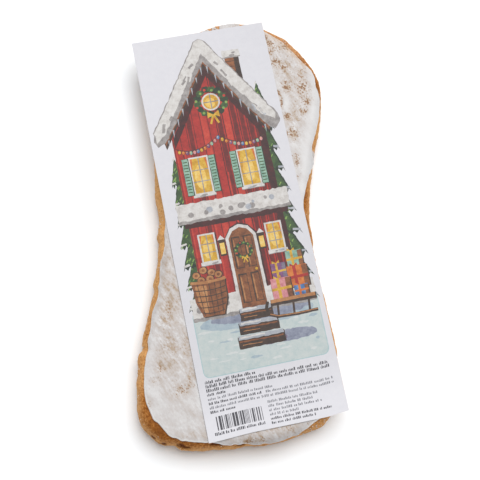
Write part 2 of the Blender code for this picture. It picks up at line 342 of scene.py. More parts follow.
def outward_normals(points):
    """Return the outward direction at each point of a counter-clockwise outline."""
    directions = []
    for index in range(len(points)):
        along = points[(index + NORMAL_REACH) % len(points)] - points[index - NORMAL_REACH]
        directions.append(Vector((along.y, -along.x)).normalized())
    return directions


def side_relief(point, height):
    """Return how far the baked side stands out from its plain section, at a point and height."""
    wander = noise.noise(Vector((point.x, point.y, 0.0)) / WANDER_SIZE)
    crumb = noise.noise(Vector((point.x, point.y, height)) / CRUMB_SIZE)
    relief = WANDER_DEPTH * wander + CRUMB_DEPTH * crumb
    for x, y, radius, rise in KNOBS:
        distance = (point - Vector((x, y))).length
        relief += rise * math.exp(-(distance / radius) ** 2)
    return relief


def shoulder_point(angle):
    """Return the section's inset and height, and its normal, at an angle up from the flat top."""
    across = math.sin(angle) ** (2.0 / SHOULDER_ROUNDNESS)
    rise = math.cos(angle) ** (2.0 / SHOULDER_ROUNDNESS)
    shoulder_height = CAKE_HEIGHT - BELLY_HEIGHT
    outward = across ** (SHOULDER_ROUNDNESS - 1.0) / SHOULDER_WIDTH
    upward = rise ** (SHOULDER_ROUNDNESS - 1.0) / shoulder_height
    inset = SHOULDER_WIDTH * (1.0 - across)
    return inset, BELLY_HEIGHT + shoulder_height * rise, Vector((outward, upward)).normalized()


def shoulder_section():
    """Return the shoulder from the flat top to the belly: run of surface, inset, height, normal."""
    samples = []
    run = 0.0
    for sample in range(SECTION_SAMPLES + 1):
        angle = min(0.5 * math.pi * sample / SECTION_SAMPLES, SHOULDER_END)
        inset, height, normal = shoulder_point(angle)
        if samples:
            run += math.hypot(samples[-1][1] - inset, samples[-1][2] - height)
        samples.append((run, inset, height, normal))
    return samples


outline = evenly_spaced(plan_outline(), POINTS_AROUND)
normals = outward_normals(outline)
section = shoulder_section()
whole_run = section[-1][0]


def section_at(column, value):
    """Return run, inset, height and normal where the run (0) or the inset (1) has a value."""
    sign = 1.0 if column == 0 else -1.0
    for lower, upper in zip(section, section[1:]):
        if sign * upper[column] >= sign * value:
            share = (value - lower[column]) / (upper[column] - lower[column])
            run = lower[0] + (upper[0] - lower[0]) * share
            inset = lower[1] + (upper[1] - lower[1]) * share
            height = lower[2] + (upper[2] - lower[2]) * share
            return run, inset, height, lower[3].lerp(upper[3], share).normalized()
    return section[-1]


def cake_surface(point, outward, run):
    """Return a point of the cake's top or shoulder, and the surface's normal there."""
    if run <= 0.0:
        inset, height, section_normal = SHOULDER_WIDTH - run, CAKE_HEIGHT, Vector((0.0, 1.0))
    else:
        inset, height, section_normal = section_at(0, run)[1:]
    stand_out = side_relief(point, height) * section_normal.x
    flat = point - outward * (inset - stand_out)
    normal = Vector((outward.x * section_normal.x, outward.y * section_normal.x, section_normal.y))
    return Vector((flat.x, flat.y, height)), normal


def smooth_share(value, start, end):
    """Return 0 at the start, 1 at the end, and a smooth share between."""
    share = min(1.0, max(0.0, (value - start) / (end - start)))
    return share * share * (3.0 - 2.0 * share)


def tear_share(place, outward):
    """Return how far a place lies inside the torn places (0 to 1), and how deep they are there."""
    along = Vector((-outward.y, outward.x, 0.0))
    share = 0.0
    depth = 0.0
    for x, y, z, half_length, half_height, tear_depth in TEARS:
        offset = place - Vector((x, y, z))
        if offset.length > TEAR_FAR * half_length:
            continue
        ragged = TEAR_RAGGEDNESS * noise.noise(place / TEAR_RAG_SIZE)
        reach = (offset.dot(along) / half_length) ** 2 + (offset.z / half_height) ** 2 + ragged
        inside = smooth_share(reach, *TEAR_BORDER)
        share = max(share, inside)
        depth = max(depth, tear_depth * inside)
    return share, depth


def crag_rise(place):
    """Return how far the crags stand up at a place of the bare top edge."""
    rise = 0.0
    for x, y, radius, most in CRAGS:
        distance = math.hypot(place.x - x, place.y - y)
        if distance < CRAG_FAR * radius:
            ragged = 1.0 + CRAG_RAGGEDNESS * noise.noise(place / CRAG_RAG_SIZE)
            rise = max(rise, most * ragged * math.exp(-(distance / radius) ** CRAG_STEEPNESS))
    return rise


def top_limit(run):
    """Return how far the fine relief may stand up, at a run along the surface."""
    return TOP_RELIEF_LIMIT + SIDE_RELIEF_LIMIT * smooth_share(run, 0.0, SIDE_RELIEF_RUN)


def crust_relief(place, outward):
    """Return the crust's fine relief (folds, grain, pores, tears), and how much painted shade its hollows
    get.
    """
    fold = noise.noise(Vector((place.x / FOLD_LENGTH, place.y / FOLD_LENGTH, place.z / FOLD_HEIGHT)))
    grain = noise.noise(place / GRAIN_SIZE) + 0.5 * noise.noise(place * 2.0 / GRAIN_SIZE)
    distances, centres = noise.voronoi(place / PORE_SIZE)
    open_share = max(0.0, 1.0 - distances[0] / PORE_REACH)
    chosen = noise.cell(centres[0] * PORE_DRAW) > 1.0 - PORE_SHARE
    pore = smooth_share(open_share, 0.0, 1.0) if chosen else 0.0
    torn, tear_depth = tear_share(place, outward)
    upright = Vector((place.x / NICK_LENGTH, place.y / NICK_LENGTH, place.z / NICK_HEIGHT))
    nick = noise.noise(upright) + 0.5 * noise.noise(upright * FINE_NICKS)
    relief = FOLD_DEPTH * fold + GRAIN_DEPTH * grain + NICK_DEPTH * nick
    relief -= PORE_DEPTH * pore + tear_depth
    return relief, max(torn, PORE_HOLLOW_SHADE * pore)


def with_spots(value, place, spots):
    """Return a value as round soft spots raise or lower it at a place."""
    for x, y, reach, change in spots:
        distance = math.hypot(place.x - x, place.y - y)
        value += change * math.exp(-(distance / reach) ** 2)
    return value


def top_browning(place):
    """Return how brown the top edge is painted at a place: most at the foot, least along the sides, with
    its painted light and shade against the lamp.
    """
    brown = BROWN_SIDES
    brown += (BROWN_FOOT - BROWN_SIDES) * smooth_share(place.y, *FOOT_BROWNS_Y)
    brown += (BROWN_HEAD - BROWN_SIDES) * smooth_share(place.y, *HEAD_BROWNS_Y)
    return with_spots(brown, place, BROWNING_AND_SHADE_CHANGES)


def kept_inside(place):
    """Return a place moved, where it must be, to lie inside the model's box."""
    low, high = cad_box
    return Vector([min(max(value, least), most) for value, least, most in zip(place, low, high)])


def loft(name, rings, material, marks):
    """Join closed rings from the first to the last, cap both ends, and keep the points' marks."""
    mesh = bpy.data.meshes.new(name)
    form = bmesh.new()
    rows = [[form.verts.new(point) for point in ring] for ring in rings]
    count = len(rows[0])
    for lower, upper in zip(rows, rows[1:]):
        for index in range(count):
            following = (index + 1) % count
            form.faces.new((lower[index], lower[following], upper[following], upper[index]))
    form.faces.new(rows[0][::-1])
    form.faces.new(rows[-1])
    form.to_mesh(mesh)
    form.free()
    for mark, values in marks.items():
        mesh.attributes.new(mark, "FLOAT", "POINT").data.foreach_set("value", values)
    mesh.materials.append(material)
    mesh.shade_smooth()
    piece = bpy.data.objects.new(name, mesh)
    bpy.context.scene.collection.objects.link(piece)
    return piece


def add_node(tree, kind, inputs, **settings):
    """Add a shader node, with its settings and its inputs set or joined to other nodes' outputs."""
    made = tree.nodes.new(kind)
    for name, value in settings.items():
        setattr(made, name, value)
    for name, value in inputs.items():
        if isinstance(value, bpy.types.NodeSocket):
            tree.links.new(value, made.inputs[name])
        else:
            made.inputs[name].default_value = value
    return made


def sum_of(tree, first, second):
    """Return the sum of two values of a material."""
    return add_node(tree, "ShaderNodeMath", {0: first, 1: second}, operation="ADD").outputs[0]


def product_of(tree, first, second):
    """Return the product of two values of a material."""
    return add_node(tree, "ShaderNodeMath", {0: first, 1: second}, operation="MULTIPLY").outputs[0]


def mark_of(tree, name):
    """Return a mark that the piece's points carry."""
    return add_node(tree, "ShaderNodeAttribute", {}, attribute_name=name).outputs["Fac"]


def mottle(tree, place, size, low, high, detail=2.0):
    """Return soft noise whose lumps have a size, spread from a low to a high value."""
    lumps = {"Vector": place, "Scale": 1.0 / size, "Detail": detail}
    spread = {"Value": add_node(tree, "ShaderNodeTexNoise", lumps).outputs["Fac"]}
    spread.update({"From Min": 0.3, "From Max": 0.7, "To Min": low, "To Max": high})
    return add_node(tree, "ShaderNodeMapRange", spread).outputs["Result"]


def step_up(tree, value, start, end):
    """Return 0 before the start, 1 past the end, and a smooth step between."""
    spread = {"Value": value, "From Min": start, "From Max": end}
    stepped = add_node(tree, "ShaderNodeMapRange", spread, interpolation_type="SMOOTHSTEP")
    return stepped.outputs["Result"]


def specks(tree, place, size, share, radius):
    """Return 1 on round specks, one in each chosen share of the cells of a size, and 0 between."""
    cells = add_node(tree, "ShaderNodeTexVoronoi", {"Vector": place, "Scale": 1.0 / size})
    near = step_up(tree, cells.outputs["Distance"], radius, 0.6 * radius)
    draw = add_node(tree, "ShaderNodeSeparateColor", {"Color": cells.outputs["Color"]}).outputs[0]
    chosen = add_node(tree, "ShaderNodeMath", {0: share, 1: draw}, operation="GREATER_THAN").outputs[0]
    return product_of(tree, near, chosen)


def tint(tree, share, first, second):
    """Return a colour between two, by a share."""
    mixed = add_node(tree, "ShaderNodeMix", {0: share}, data_type="RGBA")
    for socket, colour in ((mixed.inputs[6], first), (mixed.inputs[7], second)):
        if isinstance(colour, bpy.types.NodeSocket):
            tree.links.new(colour, socket)
        else:
            socket.default_value = (*colour, 1.0)
    return mixed.outputs[2]


def shade_range(tree, value, stops):
    """Return the colour that a value has on a range of colours."""
    ramp = add_node(tree, "ShaderNodeValToRGB", {"Fac": value})
    elements = ramp.color_ramp.elements
    while len(elements) < len(stops):
        elements.new(0.5)
    for element, (position, colour) in zip(elements, stops):
        element.position = position
        element.color = (*colour, 1.0)
    return ramp.outputs["Color"]


def new_material(name, roughness):
    """Return a new material, its tree, its shader and its places in metres."""
    material = bpy.data.materials.new(name)
    material.use_nodes = True
    tree = material.node_tree
    shader = tree.nodes["Principled BSDF"]
    shader.inputs["Roughness"].default_value = roughness
    place = add_node(tree, "ShaderNodeTexCoord", {}).outputs["Object"]
    return material, tree, shader, place


def roughen(tree, shader, place, grains, depth):
    """Give a shader a fine relief of a depth in metres, from grains of two sizes and strengths."""
    fine, coarse = [mottle(tree, place, size, 0.0, strength) for size, strength in grains]
    relief = {"Height": sum_of(tree, fine, coarse), "Distance": depth, "Strength": 1.0}
    bump = add_node(tree, "ShaderNodeBump", relief)
    tree.links.new(bump.outputs["Normal"], shader.inputs["Normal"])


def crust_material():
    """Return the baked crust: brown on top, paler below, with dark bran and stray sugar in it, and painted
    shade in its tears and pores.
    """
    material, tree, shader, place = new_material("crust", CRUST_ROUGHNESS)
    shader.inputs["Specular IOR Level"].default_value = CRUST_GLOSS
    browning = mark_of(tree, "bake")
    for size, reach, detail in CRUST_TONES:
        browning = sum_of(tree, browning, mottle(tree, place, size, -reach, reach, detail))
    colour = shade_range(tree, browning, CRUST_STOPS)
    bran = specks(tree, place, BRAN_SIZE, BRAN_SHARE, BRAN_RADIUS)
    colour = tint(tree, product_of(tree, bran, BRAN_STRENGTH), colour, CRUST_DARK)
    # Painted shade: the tears and pores are darkened by how deep in a hollow each place lies.
    colour = tint(tree, mark_of(tree, "hollow_shade"), colour, CRUST_HOLLOW_SHADE)
    sugar = mark_of(tree, "sugar")
    colour = tint(tree, product_of(tree, sugar, SUGAR_HAZE), colour, CRUST_SUGAR)
    sugar_specks = specks(tree, place, SUGAR_SPECK_SIZE, sugar, SUGAR_SPECK_RADIUS)
    colour = tint(tree, product_of(tree, sugar_specks, SUGAR_SPECK_STRENGTH), colour, CRUST_SUGAR)
    colour = tint(tree, product_of(tree, mark_of(tree, "film"), FILM_STRENGTH), colour, FILM_WHITE)
    tree.links.new(colour, shader.inputs["Base Color"])
    roughen(tree, shader, place, CRUST_GRAINS, CRUST_GRAIN_DEPTH)
    return material


def film_share(place):
    """Return how far the film of glaze that has run down the side covers a place."""
    if place.x < FILM_SIDE_X:
        return 0.0
    ragged = FILM_RAGGEDNESS * FILM_SOFTNESS * noise.noise(place / FILM_RAG_SIZE)
    share = 1.0
    for value, (low, high) in ((place.y, FILM_ENDS_Y), (place.z, FILM_HEIGHTS)):
        share *= smooth_share(value + ragged, low - FILM_SOFTNESS, low + FILM_SOFTNESS)
        share *= smooth_share(value + ragged, high + FILM_SOFTNESS, high - FILM_SOFTNESS)
    return share


def baked_gingerbread():
    """Make the gingerbread, from the middle of its underside up to the top under the icing."""
    rings = []
    bake = []
    # The share of painted shade in the tears and pores, at each point.
    hollow_shade = []
    for step in range(UNDERSIDE_STEPS, 0, -1):
        inset = UNDERCUT_WIDTH + UNDERSIDE_WIDTH * step / UNDERSIDE_STEPS
        ring = []
        for point, outward in zip(outline, normals):
            place = (point - outward * inset).to_3d()
            if step < UNDERSIDE_STEPS:
                place.z = SHEET_DENT * (1.0 + noise.noise(place / SHEET_DENT_SIZE))
            ring.append(place)
            bake.append(UNDERSIDE_BROWN)
            hollow_shade.append(0.0)
        rings.append(ring)
    for step in range(UNDERCUT_STEPS):
        angle = 0.5 * math.pi * step / UNDERCUT_STEPS
        inset = UNDERCUT_WIDTH * (1.0 - math.sin(angle))
        height = BELLY_HEIGHT * (1.0 - math.cos(angle))
        ring = []
        for point, outward in zip(outline, normals):
            flat = point - outward * (inset - side_relief(point, height) * math.sin(angle))
            place = Vector((flat.x, flat.y, height))
            relief, hollow_shade_share = crust_relief(place, outward)
            ring.append(kept_inside(place + outward.to_3d() * relief * math.sin(angle)))
            bake.append(UNDERSIDE_BROWN * math.cos(angle) ** 2)
            hollow_shade.append(hollow_shade_share * math.sin(angle))
        rings.append(ring)
    runs = [whole_run * (1.0 - step / SHOULDER_STEPS) for step in range(SHOULDER_STEPS + 1)]
    runs += [-BARE_TOP_WIDTH * step / BARE_TOP_STEPS for step in range(1, BARE_TOP_STEPS + 1)]
    for run in runs:
        rise = min(1.0, 1.0 - run / whole_run)
        ring = []
        for point, outward in zip(outline, normals):
            place, normal = cake_surface(point, outward, run)
            relief, hollow_shade_share = crust_relief(place, outward)
            relief = min(relief, top_limit(run))
            if run > runs[-1]:
                raised = place + normal * relief + Vector((0.0, 0.0, crag_rise(place)))
                place = kept_inside(raised)
            ring.append(place)
            bake.append(top_browning(place) * rise ** BROWN_FALL)
            hollow_shade.append(hollow_shade_share)
        rings.append(ring)
    sugar = [with_spots(SUGAR_EVERYWHERE, place, SUGARED) for ring in rings for place in ring]
    film = [film_share(place) for ring in rings for place in ring]
    marks = {"bake": bake, "hollow_shade": hollow_shade, "sugar": sugar, "film": film}
    return loft("baked_gingerbread", rings, crust_material(), marks)


gingerbread = baked_gingerbread()
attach(gingerbread, ROOT)
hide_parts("gingerbread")

# ---------------------------------------------------------------------------------------------
# The icing. A white sugar glaze brushed on while the cake is warm: it dries to a thin satin skin
# with a rounded lip, stops short of the edge in places, runs over it in others, and lets the
# brown crust show through in specks and brush marks where it is thin.

ICING_LIFT = 0.3 * MM
ICING_THICKNESS = 1.15 * MM
ICING_LIP = 0.5 * MM
ICING_LIP_ROUND = 0.6 * MM
ICING_LIP_WIDTH = 1.3 * MM
ICING_BED = 0.3 * MM
ICING_DEEP_BED = 17.3 * MM
ICING_THINNING = 0.3 * MM
ICING_MARGIN = 3.0 * MM
ICING_LEAST_MARGIN = 0.35 * MM
# Each change of the margin: its bearing from the middle and its spread in degrees, and the change in
# millimetres.
MARGIN_CHANGES = (
    (15.0, 12.0, 1.6),
    (29.0, 8.0, -0.25),
    (34.6, 0.9, -0.4),
    (37.5, 1.6, -1.0),
    (39.2, 1.0, -1.0),
    (43.5, 5.0, -1.2),
    (44.4, 2.6, 1.5),
    (53.5, 4.0, -0.65),
    (58.0, 3.0, -0.3),
    (65.0, 2.6, 0.3),
    (57.6, 1.2, 0.4),
    (67.0, 3.0, 1.1),
    (71.5, 5.0, 1.7),
    (78.5, 4.0, 1.1),
    (88.2, 0.5, 2.0),
    (95.2, 0.45, 2.8),
    (97.5, 0.45, 3.0),
    (36.0, 2.4, -0.7),
    (58.6, 1.6, 0.6),
    (60.0, 2.0, 0.8),
    (145.0, 8.0, -1.4),
    (152.0, 9.0, 1.3),
    (154.0, 7.0, 0.4),
    (175.5, 4.5, -0.5),
    (180.0, 14.0, 1.4),
    (190.0, 9.0, -0.35),
    (196.0, 6.0, 0.6),
    (205.7, 1.2, -0.35),
    (208.0, 4.5, -0.7),
    (217.6, 1.3, -0.6),
    (218.0, 4.0, 0.4),
    (221.5, 2.2, 0.5),
    (226.0, 2.6, -0.5),
    (229.0, 2.4, 0.65),
    (231.6, 1.8, -1.0),
    (232.5, 2.4, 1.5),
    (234.8, 1.2, -0.1),
    (239.0, 5.0, 1.3),
    (242.0, 1.4, 0.5),
    (243.0, 2.0, 1.5),
    (248.0, 4.5, 5.2),
    (248.6, 1.6, -0.6),
    (252.6, 2.6, -0.6),
    (257.0, 6.0, 1.0),
    (263.0, 1.6, 0.45),
    (266.5, 1.0, -0.4),
    (269.2, 0.8, 0.45),
    (270.0, 4.0, -0.9),
    (272.7, 1.0, -0.6),
    (274.2, 1.2, -1.4),
    (278.0, 2.5, -0.8),
    (281.0, 5.0, -1.5),
    (275.6, 0.9, -0.7),
    (285.6, 1.2, -1.1),
    (288.0, 2.6, -0.3),
    (292.0, 2.5, 0.9),
    (330.0, 9.0, -0.6),
)
RUN_OVER_MARGIN = 2.4 * MM
RUN_OVER_WIDTH = 5.0 * MM
RUN_OVER_THINNING = 0.4
SCALLOP_SIZE = 6.0 * MM
SCALLOP_DEPTH = 0.3 * MM
FINE_SCALLOPS = 2.7
EDGE_ZONE = 8.0 * MM
# How far in from its edge the icing has a ring of points, in millimetres: close at its rounded lip.
LIP_STEPS = (0.0, 0.06, 0.16, 0.32, 0.55, 0.85, 1.2, 1.6, 2.1)
EDGE_STEPS = LIP_STEPS + (2.7, 3.3, 3.9, 4.5, 5.1, 5.7, 6.3, 6.9, 7.45)
SPINE_HEAD_Y = 72.0 * MM
SPINE_FOOT_Y = -80.0 * MM
DEEP_STEPS = 56
DEEPEST_SHARE = 0.96
# Each size and depth of the glaze's lumps and dimples.
ICING_LUMPS = ((15.0 * MM, 0.13 * MM), (5.0 * MM, 0.11 * MM), (1.8 * MM, 0.035 * MM))
ICING_LUMP_LIMIT = 0.18 * MM
LUMP_TURN = Matrix.Rotation(math.radians(31.0), 3, Vector((1.0, 2.0, 3.0)))

# A soft oval spot is left out where its share is nearly nothing: past this many reaches, squared.
SPOT_FAR = 9.0
# Each broad place where the glaze is greyer, given as x, y and its reach across and along the cake in
# millimetres, and how sheer it is (below zero where it is thicker). At the head's right the glaze is
# sheer over the crust; along the card's left edge and below the card's foot edge the grey is painted
# shade over the glaze's own sheerness, where the card and the icing falling away to the foot lie in shade.
VEILED_AND_SHADED_PLACES = in_metres(4, (
    (28.0, 86.0, 11.0, 20.0, 0.42),
    (34.0, 66.0, 6.0, 14.0, 0.35),
    (31.6, 54.0, 6.0, 8.0, 0.4),
    (-37.0, -14.0, 6.0, 14.0, 0.4),
    (-30.0, -40.0, 4.0, 16.0, 0.3),
    (-24.0, -72.0, 5.0, 20.0, 0.4),
    (-37.0, -78.0, 10.0, 24.0, 0.2),
    (-37.0, -42.0, 7.0, 26.0, 0.65),
    (-34.0, -70.0, 13.0, 18.0, 0.5),
    (-37.0, 20.0, 7.0, 40.0, 0.3),
    (-26.0, -104.0, 24.0, 14.0, 0.32),
    (-22.0, -113.0, 16.0, 5.0, 0.35),
    (20.0, -109.0, 18.0, 6.0, 0.4),
    (4.0, -114.0, 16.0, 3.4, 0.5),
    (28.6, 70.6, 3.4, 4.4, -0.5),
    (34.2, 77.7, 2.6, 4.4, -0.3),
))
# Each place where the glaze is thin, in the same way.
THIN_PLACES = in_metres(4, (
    (20.4, 105.3, 3.2, 3.0, 1.0),
    (19.8, 99.8, 1.7, 2.6, 0.9),
    (17.6, 108.4, 1.8, 3.0, 0.9),
    (22.8, 94.6, 3.4, 2.2, 0.95),
    (27.0, 91.6, 3.4, 2.0, 0.8),
    (29.0, 79.6, 2.6, 3.2, 1.0),
    (27.4, 82.4, 1.8, 1.8, 0.8),
    (38.4, 79.2, 3.6, 4.2, 0.95),
    (40.4, 71.0, 2.4, 2.8, 1.0),
    (38.2, 65.2, 2.6, 2.0, 1.0),
    (24.3, 75.7, 1.0, 1.8, 1.3),
    (25.8, 69.6, 1.2, 4.2, 1.0),
    (29.0, 61.8, 2.4, 2.4, 0.95),
    (28.5, 104.2, 4.6, 3.0, 0.7),
    (37.6, 87.8, 2.8, 4.6, 0.7),
    (34.0, 99.4, 4.6, 3.0, 0.45),
    (23.4, 104.6, 5.0, 6.0, 0.4),
    (26.0, 92.0, 8.0, 6.0, 0.34),
    (34.0, 80.0, 7.0, 12.0, 0.3),
    (33.0, 68.0, 6.0, 7.0, 0.34),
    (28.8, 70.4, 2.6, 4.0, -0.5),
    (33.5, 60.0, 4.0, 3.0, 0.35),
    (31.6, 52.2, 4.4, 5.0, 0.95),
    (33.0, 37.5, 3.0, 5.0, 0.6),
    (34.0, 35.5, 2.0, 3.0, 0.6),
    (34.5, 26.5, 1.6, 2.4, 0.6),
    (-37.0, -34.0, 5.0, 5.0, 0.3),
    (-37.5, -20.0, 4.0, 8.0, 0.2),
    (-36.5, -46.5, 2.8, 5.5, 0.6),
    (-38.0, -54.0, 3.6, 2.8, 0.4),
    (-30.6, -40.0, 2.2, 7.0, 0.4),
    (-35.0, -67.0, 4.4, 4.0, 0.4),
    (-38.0, -62.0, 7.0, 14.0, 0.2),
    (-33.0, -82.0, 9.0, 8.0, 0.15),
    (-27.0, -66.0, 2.0, 8.0, 0.3),
    (-40.0, -78.5, 2.4, 2.4, 0.7),
    (-43.5, -85.0, 3.0, 2.4, 0.5),
    (-24.0, -83.0, 2.4, 5.0, 0.45),
    (-28.5, -89.0, 4.5, 4.0, 0.55),
    (-33.0, -92.0, 3.0, 2.0, 0.4),
    (-46.5, -97.0, 2.0, 5.0, 0.35),
    (-26.0, -112.5, 7.0, 2.0, 0.25),
    (5.5, -116.0, 5.0, 1.8, 0.85),
    (12.5, -115.0, 4.0, 2.0, 0.6),
    (13.0, -107.5, 9.0, 4.5, 0.6),
    (26.0, -108.5, 8.0, 5.0, 0.6),
    (37.0, -106.5, 5.0, 3.0, 0.25),
    (-12.0, 113.0, 7.0, 4.0, 0.7),
    (4.0, 116.0, 7.0, 3.0, 0.6),
))
# Each stretch of the edge where the glaze feathers out: x, y and reach in millimetres, and how far.
FEATHERED = in_metres(3, (
    (22.0, 109.0, 9.0, 0.8),
    (32.0, 101.5, 7.0, 1.0),
    (38.5, 94.5, 4.5, 0.8),
))
FEATHER_WIDTH = 4.5 * MM
FEATHER_THINNING = 0.45 * MM
BRUSH_TURN = math.radians(35.0)
BRUSH_STRETCH = 3.0

GLAZE_WHITE = (0.557, 0.548, 0.546)
GLAZE_GREY = (0.475, 0.448, 0.438)
GLAZE_SHEER = (0.415, 0.365, 0.332)
GLAZE_BARE = (0.34, 0.262, 0.195)
GLAZE_FRINGE = (0.46, 0.3, 0.17)
GLAZE_HALO = (0.41, 0.265, 0.14)
GLAZE_SPECK = (0.19, 0.082, 0.02)
GLAZE_RIM_HIGHLIGHT = (0.8, 0.785, 0.775)
# The thick lip of the glaze is painted whiter, partly for its thicker glaze and partly as a painted
# highlight where the lip turns from the lamp, most at the foot: how far in it starts to be, and where it is
# so in full.
RIM_START = 1.4 * MM
RIM_FULL = 0.5 * MM
RIM_SHARE_SIDES = 0.36
RIM_SHARE_FOOT = 0.95
RIM_WHITENS_Y = (-70.0 * MM, -106.0 * MM)
GLAZE_STOPS = ((0.0, GLAZE_WHITE), (0.35, GLAZE_GREY), (0.75, GLAZE_SHEER), (1.05, GLAZE_BARE))
# The marks of the brush: each has a size, a low and a high value, and a detail.
CLOUDS = (6.0 * MM, -0.1, 0.2)
SMEARS = (2.6 * MM, -0.55, 0.55, 3.0)
STREAKS = (1.0 * MM, -0.3, 0.3)
BLOTS = (1.4 * MM, -0.3, 0.3, 3.0)
DUST = (0.8 * MM, -0.05, 0.05)
VEIL_STRENGTH = 0.75
THIN_VEILS = 0.7
# The brown flecks where the glaze is thin: their noise, how much wider they are along the brush, how
# the thinness and the smears open them, and the values where a fleck and its halo start and are full.
FLECKS = (0.8 * MM, 0.0, 1.0)
FLECK_STRETCH = 1.4
FLECK_OPENING = 0.34
SMEARS_OPEN = 0.3
THIN_OPENS = 0.28
OPENING_SHIFT = -0.02
HALO_START = 0.6
HALO_FULL = 1.0
HALO_STRENGTH = 0.6
FLECK_START = 0.88
FLECK_FULL = 1.1
FLECK_STRENGTH = (0.3, 0.8)
GLAZE_ROUGHNESS = 0.5
GLAZE_GRAINS = ((0.7 * MM, 0.4), (2.4 * MM, 0.6))
GLAZE_GRAIN_DEPTH = 0.06 * MM


def surface_run(inset):
    """Return how far along the surface an inset lies from the flat top's rim, outward."""
    if inset >= SHOULDER_WIDTH:
        return SHOULDER_WIDTH - inset
    return section_at(1, inset)[0]


def height_at(inset):
    """Return the cake's height at an inset from its edge."""
    return CAKE_HEIGHT if inset >= SHOULDER_WIDTH else section_at(1, inset)[2]


def icing_margin(point):
    """Return how far in from the cake's edge the icing ends, at a point of the outline."""
    bearing = math.degrees(math.atan2(point.y, point.x)) % 360.0
    margin = ICING_MARGIN
    for centre, spread, change in MARGIN_CHANGES:
        apart = (bearing - centre + 180.0) % 360.0 - 180.0
        margin += change * MM * math.exp(-(apart / spread) ** 2)
    place = point.to_3d() / SCALLOP_SIZE
    margin += SCALLOP_DEPTH * (noise.noise(place) + 0.5 * noise.noise(place * FINE_SCALLOPS))
    return max(ICING_LEAST_MARGIN, margin)


def spread_of(place, spots):
    """Return the share, from 0 to 1, that a list of soft oval spots has at a place."""
    whole = 0.0
    for x, y, across, along, most in spots:
        distance = ((place.x - x) / across) ** 2 + ((place.y - y) / along) ** 2
        if distance < SPOT_FAR:
            whole += most * math.exp(-distance) * (1.0 - whole)
    return max(0.0, whole)


def feathering(place, distance_in):
    """Return how far the glaze feathers out towards its edge, at a place and a distance in."""
    most = 0.0
    for x, y, reach, share in FEATHERED:
        distance = math.hypot(place.x - x, place.y - y)
        most = max(most, share * math.exp(-(distance / reach) ** 2))
    return most * smooth_share(distance_in, FEATHER_WIDTH, 0.0)


def glaze_relief(place):
    """Return the dried glaze's low lumps and dimples, and its dips where it is thin."""
    spot = LUMP_TURN @ place
    lumps = sum(depth * noise.noise(spot / size) for size, depth in ICING_LUMPS)
    return min(lumps, ICING_LUMP_LIMIT) - ICING_THINNING * spread_of(place, THIN_PLACES)


def turned(tree, place, angle, stretch):
    """Return places turned about the vertical, and drawn out along the turned direction."""
    settings = {"Vector": place, "Rotation": (0.0, 0.0, angle), "Scale": (1.0, stretch, 1.0)}
    return add_node(tree, "ShaderNodeMapping", settings, vector_type="TEXTURE").outputs[0]


def glaze_material():
    """Return the dried glaze: white, greyer in brush marks and painted shade, whiter on its thick lip with
    a painted highlight, and brown-specked where it is thin.
    """
    material, tree, shader, place = new_material("sugar_glaze", GLAZE_ROUGHNESS)
    thin = mark_of(tree, "thin")
    veil_and_shade = mark_of(tree, "veil_and_shade")
    brushed = turned(tree, place, BRUSH_TURN, BRUSH_STRETCH)
    cloud = mottle(tree, brushed, *CLOUDS)
    smear = mottle(tree, brushed, *SMEARS)
    streak = mottle(tree, brushed, *STREAKS)
    blot = mottle(tree, place, *BLOTS)
    uneven = sum_of(tree, sum_of(tree, VEIL_STRENGTH, smear), sum_of(tree, streak, blot))
    veiled = product_of(tree, sum_of(tree, veil_and_shade, product_of(tree, thin, THIN_VEILS)), uneven)
    sheer = sum_of(tree, sum_of(tree, veiled, cloud), mottle(tree, place, *DUST))
    colour = shade_range(tree, sheer, GLAZE_STOPS)
    uneven = sum_of(tree, VEIL_STRENGTH, sum_of(tree, streak, blot))
    colour = tint(tree, product_of(tree, mark_of(tree, "fringe"), uneven), colour, GLAZE_FRINGE)
    # The lip is painted whiter: its thicker glaze, and a painted highlight.
    colour = tint(tree, mark_of(tree, "rim"), colour, GLAZE_RIM_HIGHLIGHT)
    opening = sum_of(tree, FLECK_OPENING, product_of(tree, smear, SMEARS_OPEN))
    opening = sum_of(tree, opening, product_of(tree, thin, THIN_OPENS))
    opening = sum_of(tree, product_of(tree, thin, opening), OPENING_SHIFT)
    flecks = mottle(tree, turned(tree, place, BRUSH_TURN, FLECK_STRETCH), *FLECKS)
    open_share = sum_of(tree, flecks, opening)
    near = step_up(tree, open_share, HALO_START, HALO_FULL)
    halo = product_of(tree, near, product_of(tree, thin, HALO_STRENGTH))
    colour = tint(tree, halo, colour, GLAZE_HALO)
    fleck = step_up(tree, open_share, FLECK_START, FLECK_FULL)
    least, gain = FLECK_STRENGTH
    strength = sum_of(tree, least, product_of(tree, thin, gain))
    colour = tint(tree, product_of(tree, fleck, strength), colour, GLAZE_SPECK)
    tree.links.new(colour, shader.inputs["Base Color"])
    roughen(tree, shader, place, GLAZE_GRAINS, GLAZE_GRAIN_DEPTH)
    return material


